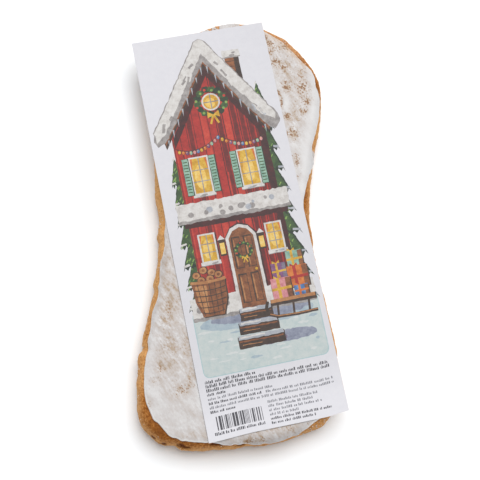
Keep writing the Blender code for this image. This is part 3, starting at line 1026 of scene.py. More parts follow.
def white_icing():
    """Make the icing: its bed on the crust, its rounded lip, and its top in to the cake's spine."""
    margins = [icing_margin(point) for point in outline]
    edge_runs = [surface_run(margin) for margin in margins]
    bed = []
    for point, outward, edge_run in zip(outline, normals, edge_runs):
        place = cake_surface(point, outward, edge_run - EDGE_ZONE)[0]
        bed.append(Vector((place.x, place.y, ICING_DEEP_BED)))
    lip_foot = []
    for point, outward, edge_run in zip(outline, normals, edge_runs):
        place, normal = cake_surface(point, outward, edge_run)
        lip_foot.append(place - normal * ICING_BED)
    rings = [bed, lip_foot]
    insets = [EDGE_ZONE, 0.0]
    for distance in EDGE_STEPS:
        distance_in = distance * MM
        share = min(1.0, distance_in / ICING_LIP_WIDTH)
        lip_round = math.sqrt(1.0 - (1.0 - min(1.0, distance_in / ICING_LIP_ROUND)) ** 2)
        ring = []
        for point, outward, edge_run, margin in zip(outline, normals, edge_runs, margins):
            place, normal = cake_surface(point, outward, edge_run - distance_in)
            depth = (ICING_LIFT + ICING_LIP) * lip_round
            thinned = RUN_OVER_THINNING * smooth_share(margin, RUN_OVER_MARGIN, ICING_LEAST_MARGIN)
            depth *= 1.0 - thinned * smooth_share(distance_in, RUN_OVER_WIDTH, 0.0)
            depth += (ICING_THICKNESS - ICING_LIP) * math.sin(0.5 * math.pi * share)
            depth -= FEATHER_THINNING * feathering(place, distance_in) * lip_round
            ring.append(place + normal * (depth + share * glaze_relief(place)))
        rings.append(ring)
        insets.append(distance_in)
    for step in range(DEEP_STEPS + 1):
        share = DEEPEST_SHARE * step / DEEP_STEPS
        ring = []
        for point, outward, edge_run in zip(outline, normals, edge_runs):
            place = cake_surface(point, outward, edge_run - EDGE_ZONE)[0]
            spine_y = min(SPINE_HEAD_Y, max(SPINE_FOOT_Y, place.y))
            flat = place.lerp(Vector((CAKE_AXIS_X, spine_y, place.z)), share)
            flat.z = max(place.z, height_at((flat.xy - point).length))
            fade = 1.0 if step < DEEP_STEPS else 0.0
            rise = ICING_LIFT + ICING_THICKNESS + fade * glaze_relief(flat)
            ring.append(flat + Vector((0.0, 0.0, rise)))
        rings.append(ring)
        insets.append(EDGE_ZONE)
    thin = [spread_of(place, THIN_PLACES) for ring in rings for place in ring]
    # How sheer the glaze is, with the painted shade beside and below the card.
    veil_and_shade = [spread_of(place, VEILED_AND_SHADED_PLACES) for ring in rings for place in ring]
    fringe = [feathering(place, inset) for ring, inset in zip(rings, insets) for place in ring]
    # The lip's whiteness: its thicker glaze, and a painted highlight, most at the foot.
    rim = []
    for ring, inset in zip(rings, insets):
        near = smooth_share(inset, RIM_START, RIM_FULL)
        for place in ring:
            foot_share = smooth_share(place.y, *RIM_WHITENS_Y)
            whiteness = RIM_SHARE_SIDES + (RIM_SHARE_FOOT - RIM_SHARE_SIDES) * foot_share
            rim.append(near * whiteness * (1.0 - feathering(place, inset)))
    marks = {"thin": thin, "veil_and_shade": veil_and_shade, "fringe": fringe, "rim": rim}
    return loft("white_icing", rings, glaze_material(), marks)


icing = white_icing()
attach(icing, ROOT)
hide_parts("icing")

# ---------------------------------------------------------------------------------------------
# The loose sugar. Crumbs of dried glaze that fell on the bare crust beside the icing and stuck
# there: most at the foot's right corner, a few at the head and along the sides.

SUGAR_RADII = (0.12 * MM, 0.32 * MM)
SUGAR_UNEVENNESS = 0.5
SUGAR_LUMP_SIZE = 0.25 * MM
SUGAR_RISE = 0.55
# Where the crumbs lie, as shares of the way from the icing's edge down to the belly.
SUGAR_BAND = (0.06, 0.5)
SUGAR_WHITE = (0.66, 0.64, 0.62)
SUGAR_CREAM = (0.5, 0.44, 0.37)
SUGAR_CREAM_SIZE = 0.4 * MM
SUGAR_CREAM_SHARE = 0.8
SUGAR_SEED = 41
# Each stretch of the edge with loose sugar: its two bearings from the middle, and how many crumbs.
SUGAR_STRETCHES = (
    (285.0, 298.0, 36),
    (252.0, 285.0, 4),
    (205.0, 250.0, 6),
    (150.0, 205.0, 6),
    (62.0, 78.0, 8),
    (93.0, 104.0, 6),
)


def sugar_material():
    """Return the crumbs of glaze: white, with a creamy side where they touched the crust."""
    material, tree, shader, place = new_material("sugar_crumbs", GLAZE_ROUGHNESS)
    cream = mottle(tree, place, SUGAR_CREAM_SIZE, 0.0, SUGAR_CREAM_SHARE)
    colour = tint(tree, cream, SUGAR_WHITE, SUGAR_CREAM)
    tree.links.new(colour, shader.inputs["Base Color"])
    return material


def loose_sugar():
    """Make the crumbs of sugar: small uneven lumps, each partly sunk in the crust."""
    drops = random.Random(SUGAR_SEED)
    bearings = [math.degrees(math.atan2(point.y, point.x)) % 360.0 for point in outline]
    form = bmesh.new()
    for start, end, count in SUGAR_STRETCHES:
        stretch = [index for index, bearing in enumerate(bearings) if start < bearing < end]
        for _ in range(count):
            index = drops.choice(stretch)
            edge_run = surface_run(icing_margin(outline[index]))
            run = edge_run + (whole_run - edge_run) * drops.uniform(*SUGAR_BAND)
            place, normal = cake_surface(outline[index], normals[index], run)
            relief = min(crust_relief(place, normals[index])[0], top_limit(run))
            radius = drops.uniform(*SUGAR_RADII)
            centre = place + normal * (relief + SUGAR_RISE * radius)
            for vertex in bmesh.ops.create_icosphere(form, subdivisions=2, radius=radius)["verts"]:
                lump = noise.noise((centre + vertex.co) / SUGAR_LUMP_SIZE)
                vertex.co = kept_inside(centre + vertex.co * (1.0 + SUGAR_UNEVENNESS * lump))
    mesh = bpy.data.meshes.new("loose_sugar")
    form.to_mesh(mesh)
    form.free()
    mesh.materials.append(sugar_material())
    piece = bpy.data.objects.new("loose_sugar", mesh)
    bpy.context.scene.collection.objects.link(piece)
    return piece


sugar = loose_sugar()
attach(sugar, ROOT)

# ---------------------------------------------------------------------------------------------
# The picture card. Coated board 0.4 mm thick, cut to a long oblong and laid askew on the icing:
# a printed winter scene fills most of it, above a pale ground, rows of small print and a row of
# bars. The print is a set of flat shapes of ink, each laid over the ones before it, and its
# inks are darkened and lightened down the card by a painted light and shade of a small bend.

# The card's plan and its print are in millimetres: across from its left edge, down from its top edge.
CARD_WIDTH = 75.0
CARD_LENGTH = 223.7
CARD_THICKNESS = 0.4 * MM
CARD_TURN = math.radians(11.06)
CARD_CENTRE_Y = 1.3 * MM
CARD_UNDERSIDE = 19.38 * MM
CARD_SIDE_CURL = 0.05 * MM
CARD_END_CURL = 0.03 * MM
# The foot's edge of the card isn't cut quite straight: how much longer it is in its middle, at its
# left corner and at its right corner, and where along its width and its length that begins.
UNEVEN_START = 170.0
UNEVEN_MIDDLE = 0.28
UNEVEN_LEFT = 1.0
UNEVEN_LEFT_START = -0.3
UNEVEN_RIGHT = -1.1
UNEVEN_RIGHT_START = 0.68
# Painted light and shade of the board down its length, for a small bend that the card's shape hardly has:
# place, and the share that its inks are multiplied by.
CARD_PAINTED_LIGHTS = (
    (0.0, 0.955),
    (30.0, 0.955),
    (80.0, 0.95),
    (150.0, 0.915),
    (190.0, 0.925),
    (206.0, 1.0),
    (216.0, 1.055),
    (CARD_LENGTH, 1.055),
)
# Painted light across the board near its head, lighter at its left edge, and how far down it has faded out.
CARD_PAINTED_LIGHT_ACROSS = 0.06
CARD_PAINTED_LIGHT_FADES = 130.0
# The face is cut into cells of this size too, and points closer than the merge are one.
CARD_CELL = 4.0
CARD_MERGE = 0.002
INK_ROUGHNESS = 0.6
INK_STRENGTH = 0.71
# A brushed edge: its longest step, the length of its waves, and what keeps the waves of its two
# directions and of one shape and the next apart.
BRUSH_STEP = 1.6
BRUSH_WAVE = 1.9
BRUSH_APART = Vector((31.7, 11.3, 5.9))
BRUSH_PER_SHAPE = 0.37
PRESS_SEED = 23
# Each ink: its shade, its body and its light, in the 0 to 255 steps of a display.
INKS = {
    "board": ((229, 228, 234), (232, 231, 237), (235, 234, 239)),
    "small_print": ((120, 120, 128), (138, 138, 145), (158, 158, 164)),
    "bold_print": ((58, 57, 64), (76, 75, 82), (100, 99, 106)),
    "ground_rim": ((170, 200, 204), (182, 209, 212), (196, 216, 218)),
    "ground": ((190, 207, 208), (205, 216, 215), (216, 222, 220)),
    "ground_light": ((212, 219, 219), (221, 226, 225), (229, 231, 231)),
    "ground_blue": ((158, 178, 192), (176, 193, 203), (190, 204, 210)),
    "cool_shadow": ((118, 124, 146), (146, 152, 172), (168, 174, 190)),
    "violet_shadow": ((96, 84, 108), (124, 112, 134), (150, 140, 158)),
    "snow": ((196, 190, 186), (224, 220, 216), (238, 236, 234)),
    "snow_grey": ((128, 122, 122), (160, 154, 152), (188, 183, 180)),
    "snow_blue": ((150, 156, 168), (178, 182, 190), (200, 202, 208)),
    "red": ((140, 26, 22), (176, 36, 29), (196, 46, 36)),
    "red_light": ((176, 44, 32), (202, 58, 42), (220, 84, 58)),
    "red_dark": ((84, 18, 18), (112, 22, 21), (138, 28, 26)),
    "red_deep": ((44, 14, 16), (64, 18, 19), (88, 22, 22)),
    "timber": ((92, 50, 28), (138, 80, 42), (170, 108, 62)),
    "timber_light": ((160, 100, 56), (190, 130, 78), (214, 160, 108)),
    "timber_dark": ((36, 24, 20), (62, 42, 32), (92, 64, 48)),
    "fir": ((36, 58, 34), (58, 88, 44), (86, 118, 56)),
    "fir_dark": ((18, 34, 24), (30, 50, 32), (46, 70, 40)),
    "fir_light": ((96, 136, 62), (130, 166, 78), (166, 192, 108)),
    "gold": ((184, 128, 26), (222, 172, 44), (240, 206, 92)),
    "glow": ((232, 170, 60), (246, 206, 104), (252, 230, 160)),
    "orange": ((180, 84, 24), (218, 116, 38), (236, 146, 66)),
    "pink": ((196, 110, 122), (222, 146, 152), (238, 182, 182)),
    "plum": ((98, 54, 98), (132, 80, 128), (160, 110, 152)),
    "blue": ((44, 84, 140), (72, 120, 178), (120, 164, 208)),
    "mint": ((104, 150, 132), (144, 184, 164), (176, 208, 190)),
}
# The unevenness of the ink, each with a size, a low and a high value, and a detail.
INK_BLOTCHES = (2.6 * MM, 0.18, 0.82, 3.0)
INK_GRAINS = (0.8 * MM, -0.16, 0.16)

# The main places of the printed house and its ground.
HOUSE_MIDDLE = 37.0
DOOR_MIDDLE = 38.0
WALL_LEFT = 11.5
WALL_RIGHT = 63.5
WALL_FOOT = 160.0
WINDOW_MIDDLE = 42.0
# Each row of small print: its left and right ends, how far down it is, its height and its ink.
PRINT_ROWS = (
    (3.8, 31.0, 193.0, 1.6, "bold_print"),
    (3.8, 70.6, 195.1, 1.6, "bold_print"),
    (3.8, 70.6, 197.2, 1.6, "bold_print"),
    (3.8, 14.0, 199.5, 1.3, "bold_print"),
    (3.8, 38.6, 201.7, 1.3, "small_print"),
    (3.8, 33.4, 203.9, 1.3, "bold_print"),
    (34.2, 70.6, 203.9, 1.3, "small_print"),
    (3.8, 70.6, 206.1, 1.3, "small_print"),
    (3.8, 17.0, 208.3, 1.3, "bold_print"),
)
# The column beside the bars: its left end, its first row, its rows' height and step, their right
# ends, and the row from which it is bold.
COLUMN_LEFT = 34.0
COLUMN_TOP = 209.3
COLUMN_ROW_HEIGHT = 1.3
COLUMN_STEP = 2.2
COLUMN_ENDS = (61.0, 59.0, 62.5, 50.0, 66.5, 58.0)
COLUMN_BOLD_FROM = 4
BARS_LEFT = 5.9
BARS_RIGHT = 30.6
BARS_TOP = 211.5
BARS_FOOT = 218.6
ROW_UNDER_BARS = (4.0, 31.0, 219.4, 1.5, "bold_print")

shapes = []
press = random.Random(PRESS_SEED)


def lay(ink, points):
    """Lay a flat shape of ink over what is printed so far."""
    shapes.append((ink, points))


def worn(points, wobble, step):
    """Return an outline with its edges broken into steps and moved a little, as a brush leaves it."""
    loose = []
    for index, (across, down) in enumerate(points):
        next_across, next_down = points[(index + 1) % len(points)]
        pieces = max(1, round(math.hypot(next_across - across, next_down - down) / step))
        for piece in range(pieces):
            share = piece / pieces
            x = across + (next_across - across) * share
            y = down + (next_down - down) * share
            spot = Vector((x, y, BRUSH_PER_SHAPE * len(shapes))) / BRUSH_WAVE
            down_shift = noise.noise(spot + BRUSH_APART)
            loose.append((x + wobble * noise.noise(spot), y + wobble * down_shift))
    return loose


def daub(ink, points, wobble, step=BRUSH_STEP):
    """Lay a shape of ink whose edges are uneven, as a brush leaves them."""
    lay(ink, worn(points, wobble, step))


def box(left, top, right, bottom):
    """Return the outline of an upright box."""
    return [(left, top), (right, top), (right, bottom), (left, bottom)]


def round_box(left, top, right, bottom, radius):
    """Return the outline of an upright box with rounded corners."""
    points = []
    corners = ((right, top, -90), (right, bottom, 0), (left, bottom, 90), (left, top, 180))
    for across, down, start in corners:
        middle_across = across - radius if across == right else across + radius
        middle_down = down - radius if down == bottom else down + radius
        for step in range(5):
            angle = math.radians(start + 22.5 * step)
            x = middle_across + radius * math.cos(angle)
            points.append((x, middle_down + radius * math.sin(angle)))
    return points


def oval(across, down, half_width, half_height, count=18):
    """Return the outline of an oval."""
    angles = [2.0 * math.pi * step / count for step in range(count)]
    return [(across + half_width * math.cos(a), down + half_height * math.sin(a)) for a in angles]


def strip(points, width):
    """Return the outline of a strip that follows a line."""
    near = []
    far = []
    for index, (across, down) in enumerate(points):
        ahead = points[min(index + 1, len(points) - 1)]
        behind = points[max(index - 1, 0)]
        along = Vector((ahead[0] - behind[0], ahead[1] - behind[1])).normalized()
        near.append((across - along.y * width / 2.0, down + along.x * width / 2.0))
        far.append((across + along.y * width / 2.0, down - along.x * width / 2.0))
    return near + far[::-1]


def sag(start, end, drop, count):
    """Return points on a cord that sags between two points."""
    points = []
    for step in range(count + 1):
        share = step / count
        across = start[0] + (end[0] - start[0]) * share
        down = start[1] + (end[1] - start[1]) * share + 4.0 * drop * share * (1.0 - share)
        points.append((across, down))
    return points


def print_snow_bank(left, top, right, bottom, wobble=0.8):
    """Print a bank of snow: white, grey and blue in its hollows, with a shaded lower edge."""
    height = bottom - top
    daub("snow_grey", box(left, top + 0.35 * height, right, bottom), wobble)
    daub("snow", box(left, top, right, bottom - 0.16 * height), wobble)
    for _ in range(int((right - left) / 4.0)):
        across = press.uniform(left + 2.0, right - 2.0)
        down = press.uniform(top + 0.35 * height, bottom - 0.25 * height)
        ink = press.choice(("snow_grey", "snow_blue", "snow_grey"))
        size = press.uniform(0.5, 1.5)
        daub(ink, oval(across, down, 1.3 * size, 0.09 * height * size + 0.3, 10), 0.35, 0.9)


def print_fir(across, top, foot, half_width):
    """Print a fir tree: tiers of ragged boughs, dark below, lit on the left, with snow on them."""
    tiers = max(3, round((foot - top) / 13.0))
    for tier in range(tiers - 1, -1, -1):
        tier_top = top + (foot - top) * tier / (tiers + 0.6)
        tier_foot = top + (foot - top) * (tier + 1.6) / (tiers + 0.6)
        reach = half_width * (0.42 + 0.58 * (tier + 1) / tiers)
        bough = [(across, tier_top)]
        teeth = 5
        for tooth in range(teeth + 1):
            x = across + reach * (1.0 - 2.0 * tooth / teeth)
            bough.append((x, tier_foot - 1.2 * abs(math.sin(2.3 * tooth + tier))))
            if tooth < teeth:
                bough.append((x - reach / teeth, tier_foot - 2.6))
        daub("fir_dark", bough, 0.4, 1.2)
        inner = [(across + 0.8 * (x - across) - 0.06 * reach, y - 1.8) for x, y in bough[1:]]
        daub("fir", [(across, tier_top + 1.0)] + inner, 0.45, 1.2)
        for _ in range(7):
            share = press.uniform(0.3, 0.95)
            x = across + press.uniform(-0.75, 0.45) * reach * share
            y = tier_top + (tier_foot - tier_top) * share - 1.6
            daub("fir_light", strip([(x, y), (x - 1.1, y + 1.5)], 0.55), 0.15, 1.0)
        for side in (-1.0, 1.0):
            drift = []
            for share in (0.35, 0.6, 0.88):
                drift.append((across + side * reach * share, tier_foot - 3.0 - 1.2 * (1.0 - share)))
            daub("snow" if side < 0.0 else "snow_blue", strip(drift, 1.2), 0.3, 0.9)
    daub("snow", strip([(across - 0.9, top + 2.4), (across + 0.1, top + 0.6)], 0.9), 0.1, 1.0)


def print_pane(left, top, right, bottom):
    """Print a lit window: white frame, panes that glow, and glazing bars."""
    daub("red_deep", box(left - 1.0, top - 0.6, right + 1.6, bottom + 1.6), 0.2)
    daub("snow", box(left - 0.9, top - 0.9, right + 0.9, bottom + 0.9), 0.15)
    daub("gold", box(left, top, right, bottom), 0.12)
    middle = 0.5 * (left + right)
    height = bottom - top
    glow = oval(middle - 0.4, top + 0.55 * height, 0.34 * (right - left), 0.36 * height, 14)
    daub("glow", glow, 0.3)
    for side in (left, right):
        lean = 0.28 * (middle - side)
        daub("orange", [(side, top), (side + lean, top), (side, top + 0.45 * height)], 0.1, 1.2)
    lay("snow_grey", strip([(middle, top), (middle, bottom)], 0.6))
    for share in (0.34, 0.67):
        down = top + share * height
        lay("snow_grey", strip([(left, down), (right, down)], 0.5))
    print_snow_bank(left - 1.6, bottom + 0.2, right + 1.6, bottom + 2.4, 0.25)


def print_shutter(left, top, right, bottom):
    """Print a green shutter with its slats."""
    daub("fir_dark", box(left - 0.2, top - 0.2, right + 0.5, bottom + 0.4), 0.15)
    daub("mint", box(left, top, right, bottom), 0.12)
    slats = int((bottom - top) / 1.7)
    for slat in range(1, slats):
        down = top + (bottom - top) * slat / slats
        lay("fir", strip([(left + 0.4, down), (right - 0.4, down)], 0.55))


def print_wreath(across, down, radius):
    """Print a wreath: a ring of dark and light leaves with berries and a gold bow."""
    for leaf in range(14):
        angle = 2.0 * math.pi * leaf / 14.0
        x = across + radius * math.cos(angle)
        y = down + radius * math.sin(angle)
        size = 0.30 * radius
        daub(("fir_dark", "fir")[leaf % 2], oval(x, y, size, 0.85 * size, 9), 0.14 * radius, 0.8)
    for leaf in range(12):
        angle = 2.0 * math.pi * (leaf + 0.4) / 12.0
        x = across + radius * math.cos(angle) * press.uniform(0.86, 1.14)
        y = down + radius * math.sin(angle) * press.uniform(0.86, 1.14)
        ink = ("fir_light", "fir_light", "red_light")[leaf % 3]
        lay(ink, oval(x, y, 0.085 * radius + 0.15, 0.085 * radius + 0.15, 8))
    for side in (-1.0, 1.0):
        loop = [(across, down + radius), (across + side * 0.42 * radius, down + 0.72 * radius)]
        loop.append((across + side * 0.46 * radius, down + 1.24 * radius))
        daub("gold", loop, 0.05, 0.9)
        tail = [(across, down + radius), (across + side * 0.3 * radius, down + 1.7 * radius)]
        lay("gold", strip(tail, 0.16 * radius))


def print_parcel(left, top, right, bottom, paper, ribbon):
    """Print a wrapped parcel with a shaded side and a ribbon."""
    daub("timber_dark", box(left - 0.1, top + 0.4, right + 0.6, bottom + 0.5), 0.2)
    daub(paper, box(left, top, right, bottom), 0.15)
    side = right - 0.26 * (right - left)
    daub("violet_shadow" if paper == "plum" else "timber", box(side, top + 0.3, right, bottom), 0.15)
    middle = 0.5 * (left + side)
    lay(ribbon, strip([(middle, top), (middle, bottom)], 0.16 * (right - left)))
    down = 0.45 * top + 0.55 * bottom
    lay(ribbon, strip([(left, down), (right, down - 0.3)], 0.14 * (right - left)))
    for turn_side in (-1.0, 1.0):
        bow = [(middle, top), (middle + 1.9 * turn_side, top - 1.5), (middle + 2.1 * turn_side, top + 0.1)]
        daub(ribbon, bow, 0.08, 1.0)


def print_ground():
    """Print the snow field under the house, with its shadows and brushed tones."""
    lay("ground_rim", round_box(4.0, 156.5, 72.0, 192.0, 3.4))
    lay("ground", round_box(4.5, 156.5, 71.5, 191.5, 3.0))
    for _ in range(34):
        across = press.uniform(8.0, 68.0)
        down = press.uniform(163.0, 188.5)
        ink = press.choice(("ground_light", "ground_blue", "ground_light"))
        half = press.uniform(1.2, 4.2)
        daub(ink, oval(across, down, half, press.uniform(0.3, 0.9), 12), 0.4, 1.0)
    daub("ground_blue", oval(38.0, 165.0, 31.0, 5.2, 30), 0.9)
    daub("cool_shadow", oval(40.0, 163.5, 27.0, 3.6, 28), 0.8)
    daub("cool_shadow", oval(55.0, 178.0, 13.0, 3.2, 20), 0.7)
    daub("violet_shadow", oval(44.0, 178.5, 8.0, 2.4, 18), 0.6)


def print_walls():
    """Print the tall red boarded gable, lit from the left."""
    daub("timber", box(49.5, 17.0, 57.5, 44.0), 0.25)
    daub("timber_dark", box(54.6, 17.0, 57.6, 44.0), 0.25)
    for course in range(6):
        lay("timber_dark", strip([(49.5, 20.0 + 3.2 * course), (57.5, 20.3 + 3.2 * course)], 0.35))
    print_snow_bank(48.5, 13.2, 58.6, 18.0, 0.5)
    gable = [(HOUSE_MIDDLE, 15.0), (WALL_RIGHT, 58.0), (WALL_RIGHT, WALL_FOOT)]
    daub("red", gable + [(WALL_LEFT, WALL_FOOT), (WALL_LEFT, 57.0)], 0.25)
    for board in range(12):
        left = 12.0 + 4.25 * board
        top = 60.0 if board in (0, 11) else 60.0 - 42.0 * (1.0 - abs(left + 2.0 - HOUSE_MIDDLE) / 26.0)
        ink = press.choice(("red", "red", "red_light", "red_dark")) if board < 8 else "red_dark"
        if ink != "red":
            inset = press.uniform(0.2, 0.9)
            daub(ink, box(left + inset, max(22.0, top), left + 4.0 - inset, 159.0), 0.35, 2.4)
        if board in (0, 1, 3, 6):
            gleam = strip([(left + 0.9, 66.0 + 3.0 * board), (left + 1.0, 150.0)], 0.7)
            daub("red_light", gleam, 0.3, 3.0)
        seam_ink = "red_deep" if board > 5 else "red_dark"
        daub(seam_ink, strip([(left, max(24.0, top)), (left, 159.0)], 0.42), 0.12, 3.0)
    daub("red_deep", box(59.8, 62.0, 63.6, WALL_FOOT), 0.5, 2.4)
    shadow = [(HOUSE_MIDDLE, 19.0), (62.5, 60.5), (62.5, 67.0), (HOUSE_MIDDLE, 26.5), (12.5, 66.0)]
    daub("red_deep", shadow + [(12.5, 59.5)], 0.3)


def print_roof():
    """Print the snow-laden roof, with the timber of its gable boards under the snow."""
    eaves = [(HOUSE_MIDDLE, 15.0), (67.0, 62.0), (66.2, 66.0), (HOUSE_MIDDLE, 21.5), (8.0, 65.5)]
    daub("timber_dark", eaves + [(7.0, 61.0)], 0.2)
    boards = [(HOUSE_MIDDLE, 15.5), (66.4, 61.5), (66.0, 63.8), (HOUSE_MIDDLE, 19.0), (8.0, 63.2)]
    daub("timber", boards + [(7.4, 60.5)], 0.2)
    bank = [(HOUSE_MIDDLE, 3.4), (40.0, 5.2), (72.6, 55.0), (73.0, 60.0), (70.0, 63.4), (66.0, 61.6)]
    bank += [(60.0, 53.0), (55.0, 46.4), (50.0, 37.4), (44.0, 28.8), (HOUSE_MIDDLE, 17.6), (30.0, 28.0)]
    bank += [(24.0, 38.0), (19.0, 44.6), (14.0, 53.6), (8.0, 61.4), (3.6, 63.6), (1.8, 59.6), (2.4, 54.6)]
    daub("snow_grey", bank + [(34.0, 5.0)], 0.7)
    lit = [(HOUSE_MIDDLE, 3.6), (39.4, 5.2), (71.4, 54.4), (70.6, 58.0), (64.0, 54.4), (HOUSE_MIDDLE, 12.6)]
    daub("snow", lit + [(9.0, 56.0), (3.4, 60.6), (2.8, 55.0), (34.6, 5.2)], 0.6)
    for _ in range(30):
        share = press.uniform(0.1, 0.95)
        side = press.choice((-1.0, 1.0))
        across = HOUSE_MIDDLE + side * 32.0 * share
        down = 10.0 + 49.0 * share + press.uniform(-2.6, 3.0)
        ink = press.choice(("snow_grey", "snow_blue", "snow") if side > 0.0 else ("snow_grey", "snow"))
        slope = [(across, down), (across + side * press.uniform(1.2, 3.2), down + press.uniform(2.0, 5.0))]
        daub(ink, strip(slope, press.uniform(0.6, 1.7)), 0.4, 1.1)
    for drip in range(16):
        share = (drip + 0.5) / 8.0 - 1.0
        across = HOUSE_MIDDLE + 29.0 * share
        down = 20.0 + 45.0 * abs(share)
        length = press.uniform(1.6, 3.6)
        lay("snow_blue", [(across - 0.5, down - 2.0), (across + 0.5, down - 2.0), (across, down + length)])


def print_lights():
    """Print a cord of coloured lights that hangs under the eaves, and lanterns by the door."""
    cord = sag((12.5, 66.0), (HOUSE_MIDDLE, 62.0), 4.0, 12)
    cord += sag((HOUSE_MIDDLE, 62.0), (62.5, 66.0), 4.0, 12)[1:]
    lay("timber_dark", strip(cord, 0.4))
    colours = ("gold", "orange", "plum", "mint", "pink", "blue")
    for index, (across, down) in enumerate(cord[1:-1]):
        ink = colours[index % len(colours)]
        lay("timber_dark", oval(across, down + 1.2, 1.0, 1.3, 10))
        lay(ink, oval(across - 0.1, down + 1.2, 0.8, 1.1, 10))
        lay("glow", oval(across - 0.3, down + 0.9, 0.25, 0.35, 6))
    for across in (27.2, 48.8):
        daub("timber_dark", box(across - 1.9, 121.0, across + 1.9, 129.6), 0.1)
        daub("glow", box(across - 1.3, 122.4, across + 1.3, 128.6), 0.1)
        lay("timber_dark", [(across - 2.3, 121.4), (across, 118.6), (across + 2.3, 121.4)])
        daub("snow", [(across - 2.0, 120.6), (across, 118.0), (across + 2.0, 120.6)], 0.1, 1.0)


def print_door():
    """Print the panelled door with its arch, wreath and knob."""
    for ink, left, right, spring, half, shoulder, crown, wobble in (
        ("red_deep", 29.4, 47.4, 120.0, 5.0, 114.6, 112.8, 0.2),
        ("snow", 29.6, 46.4, 120.4, 5.0, 115.4, 113.6, 0.2),
        ("timber", 31.2, 44.8, 121.0, 4.0, 117.0, 115.4, 0.15),
    ):
        arch = [(left, WALL_FOOT), (left, spring), (DOOR_MIDDLE - half, shoulder), (DOOR_MIDDLE, crown)]
        arch += [(DOOR_MIDDLE + half, shoulder), (right, spring), (right, WALL_FOOT)]
        daub(ink, arch, wobble)
    for left, right in ((32.4, 37.0), (39.0, 43.6)):
        for top, bottom in ((120.4, 138.0), (141.0, 157.0)):
            daub("timber_dark", box(left, top, right, bottom), 0.15)
            daub("timber", box(left + 0.7, top + 0.8, right - 0.3, bottom - 0.4), 0.15)
            gleam = strip([(left + 1.2, top + 1.6), (left + 1.3, bottom - 1.4)], 0.6)
            daub("timber_light", gleam, 0.15, 2.0)
    lay("gold", oval(42.9, 139.6, 0.8, 0.8, 10))
    print_wreath(DOOR_MIDDLE, 128.4, 4.0)


def print_steps():
    """Print the dark timber steps in front of the door, with trodden snow on them."""
    for step in range(3):
        half = 9.0 + 1.8 * step
        down = WALL_FOOT + 7.2 * step
        daub("timber_dark", box(DOOR_MIDDLE - half, down, DOOR_MIDDLE + half, down + 6.4), 0.35)
        daub("timber", strip([(38.6 - half, down + 2.6), (37.0 + half, down + 2.8)], 0.7), 0.3, 1.6)
        daub("snow_blue", box(38.4 - half, down - 0.4, 37.4 + half, down + 1.7), 0.45, 1.2)
        daub("snow", strip([(39.4 - half, down + 0.4), (34.0 + 0.5 * half, down + 0.3)], 0.9), 0.35, 1.2)
        daub("timber_light", strip([(40.0 - half, down + 4.4), (38.0, down + 4.6)], 0.35), 0.2, 1.6)


def print_basket():
    """Print a brown basket of split logs by the left wall."""
    logs = ((10.4, 137.6), (14.6, 135.4), (18.8, 137.2), (22.2, 138.8), (12.6, 140.6), (17.4, 140.4))
    for across, down in logs:
        lay("timber_dark", oval(across, down, 2.4, 2.2, 12))
        daub("timber_light", oval(across - 0.2, down, 2.0, 1.8, 12), 0.15)
        lay("timber", oval(across - 0.1, down + 0.1, 0.9, 0.8, 9))
    basket = [(6.8, 141.0), (25.0, 141.0), (24.4, 152.0), (21.4, 160.4), (10.0, 160.4), (7.4, 152.0)]
    daub("timber_dark", [(x + 0.7, y + 0.6) for x, y in basket], 0.3)
    daub("timber", basket, 0.3)
    daub("timber_light", [(8.4, 143.6), (14.6, 143.6), (14.0, 158.4), (11.0, 158.4), (8.8, 151.6)], 0.5)
    for row in range(5):
        down = 145.6 + 3.1 * row
        inset = 0.5 + 0.16 * row * row
        weave = sag((7.0 + inset, down), (25.0 - inset, down), 0.9, 6)
        daub("timber_dark", strip(weave, 0.5), 0.1, 2.0)
    for column in range(5):
        across = 9.8 + 3.1 * column
        lay("timber_dark", strip([(across, 142.6), (0.8 * across + 3.2, 159.6)], 0.35))
    daub("timber_light", strip(sag((6.4, 141.2), (25.4, 141.2), 0.8, 6), 1.5), 0.2, 1.6)


def print_sledge():
    """Print a timber sledge loaded with parcels by the right wall."""
    print_parcel(59.6, 133.4, 68.4, 142.4, "mint", "gold")
    print_parcel(50.6, 138.8, 58.4, 147.4, "plum", "gold")
    print_parcel(58.6, 141.8, 69.6, 153.4, "orange", "red")
    print_parcel(48.6, 147.0, 59.4, 158.0, "pink", "gold")
    print_parcel(60.6, 152.6, 68.2, 158.4, "blue", "orange")
    daub("timber_dark", box(46.4, 158.0, 71.6, 161.4), 0.2)
    daub("timber_light", box(46.6, 158.0, 71.0, 159.8), 0.2)
    for across in (50.0, 58.5, 67.0):
        lay("timber_dark", strip([(across, 161.0), (across - 0.6, 167.0)], 1.2))
    runner = [(45.0, 158.4), (43.6, 162.0), (45.0, 165.8), (49.0, 167.4), (60.0, 167.8), (70.8, 167.4)]
    daub("timber_dark", strip(runner, 1.7), 0.15)
    daub("timber_light", strip([(x, y - 0.4) for x, y in runner[2:]], 0.5), 0.1)


def small_print_row(left, right, down, height, ink):
    """Print a row of small marks in groups, each a plain upright bar."""
    across = left
    while across < right - 0.6:
        for _ in range(press.randint(2, 8)):
            width = press.uniform(0.34, 0.75)
            if across + width > right:
                break
            rise = press.choice((0.0, 0.0, 0.3, 0.34)) * height
            lay(ink, box(across, down - rise + 0.3 * height, across + width, down + height))
            across += width + press.uniform(0.22, 0.34)
        across += press.uniform(0.5, 0.9)


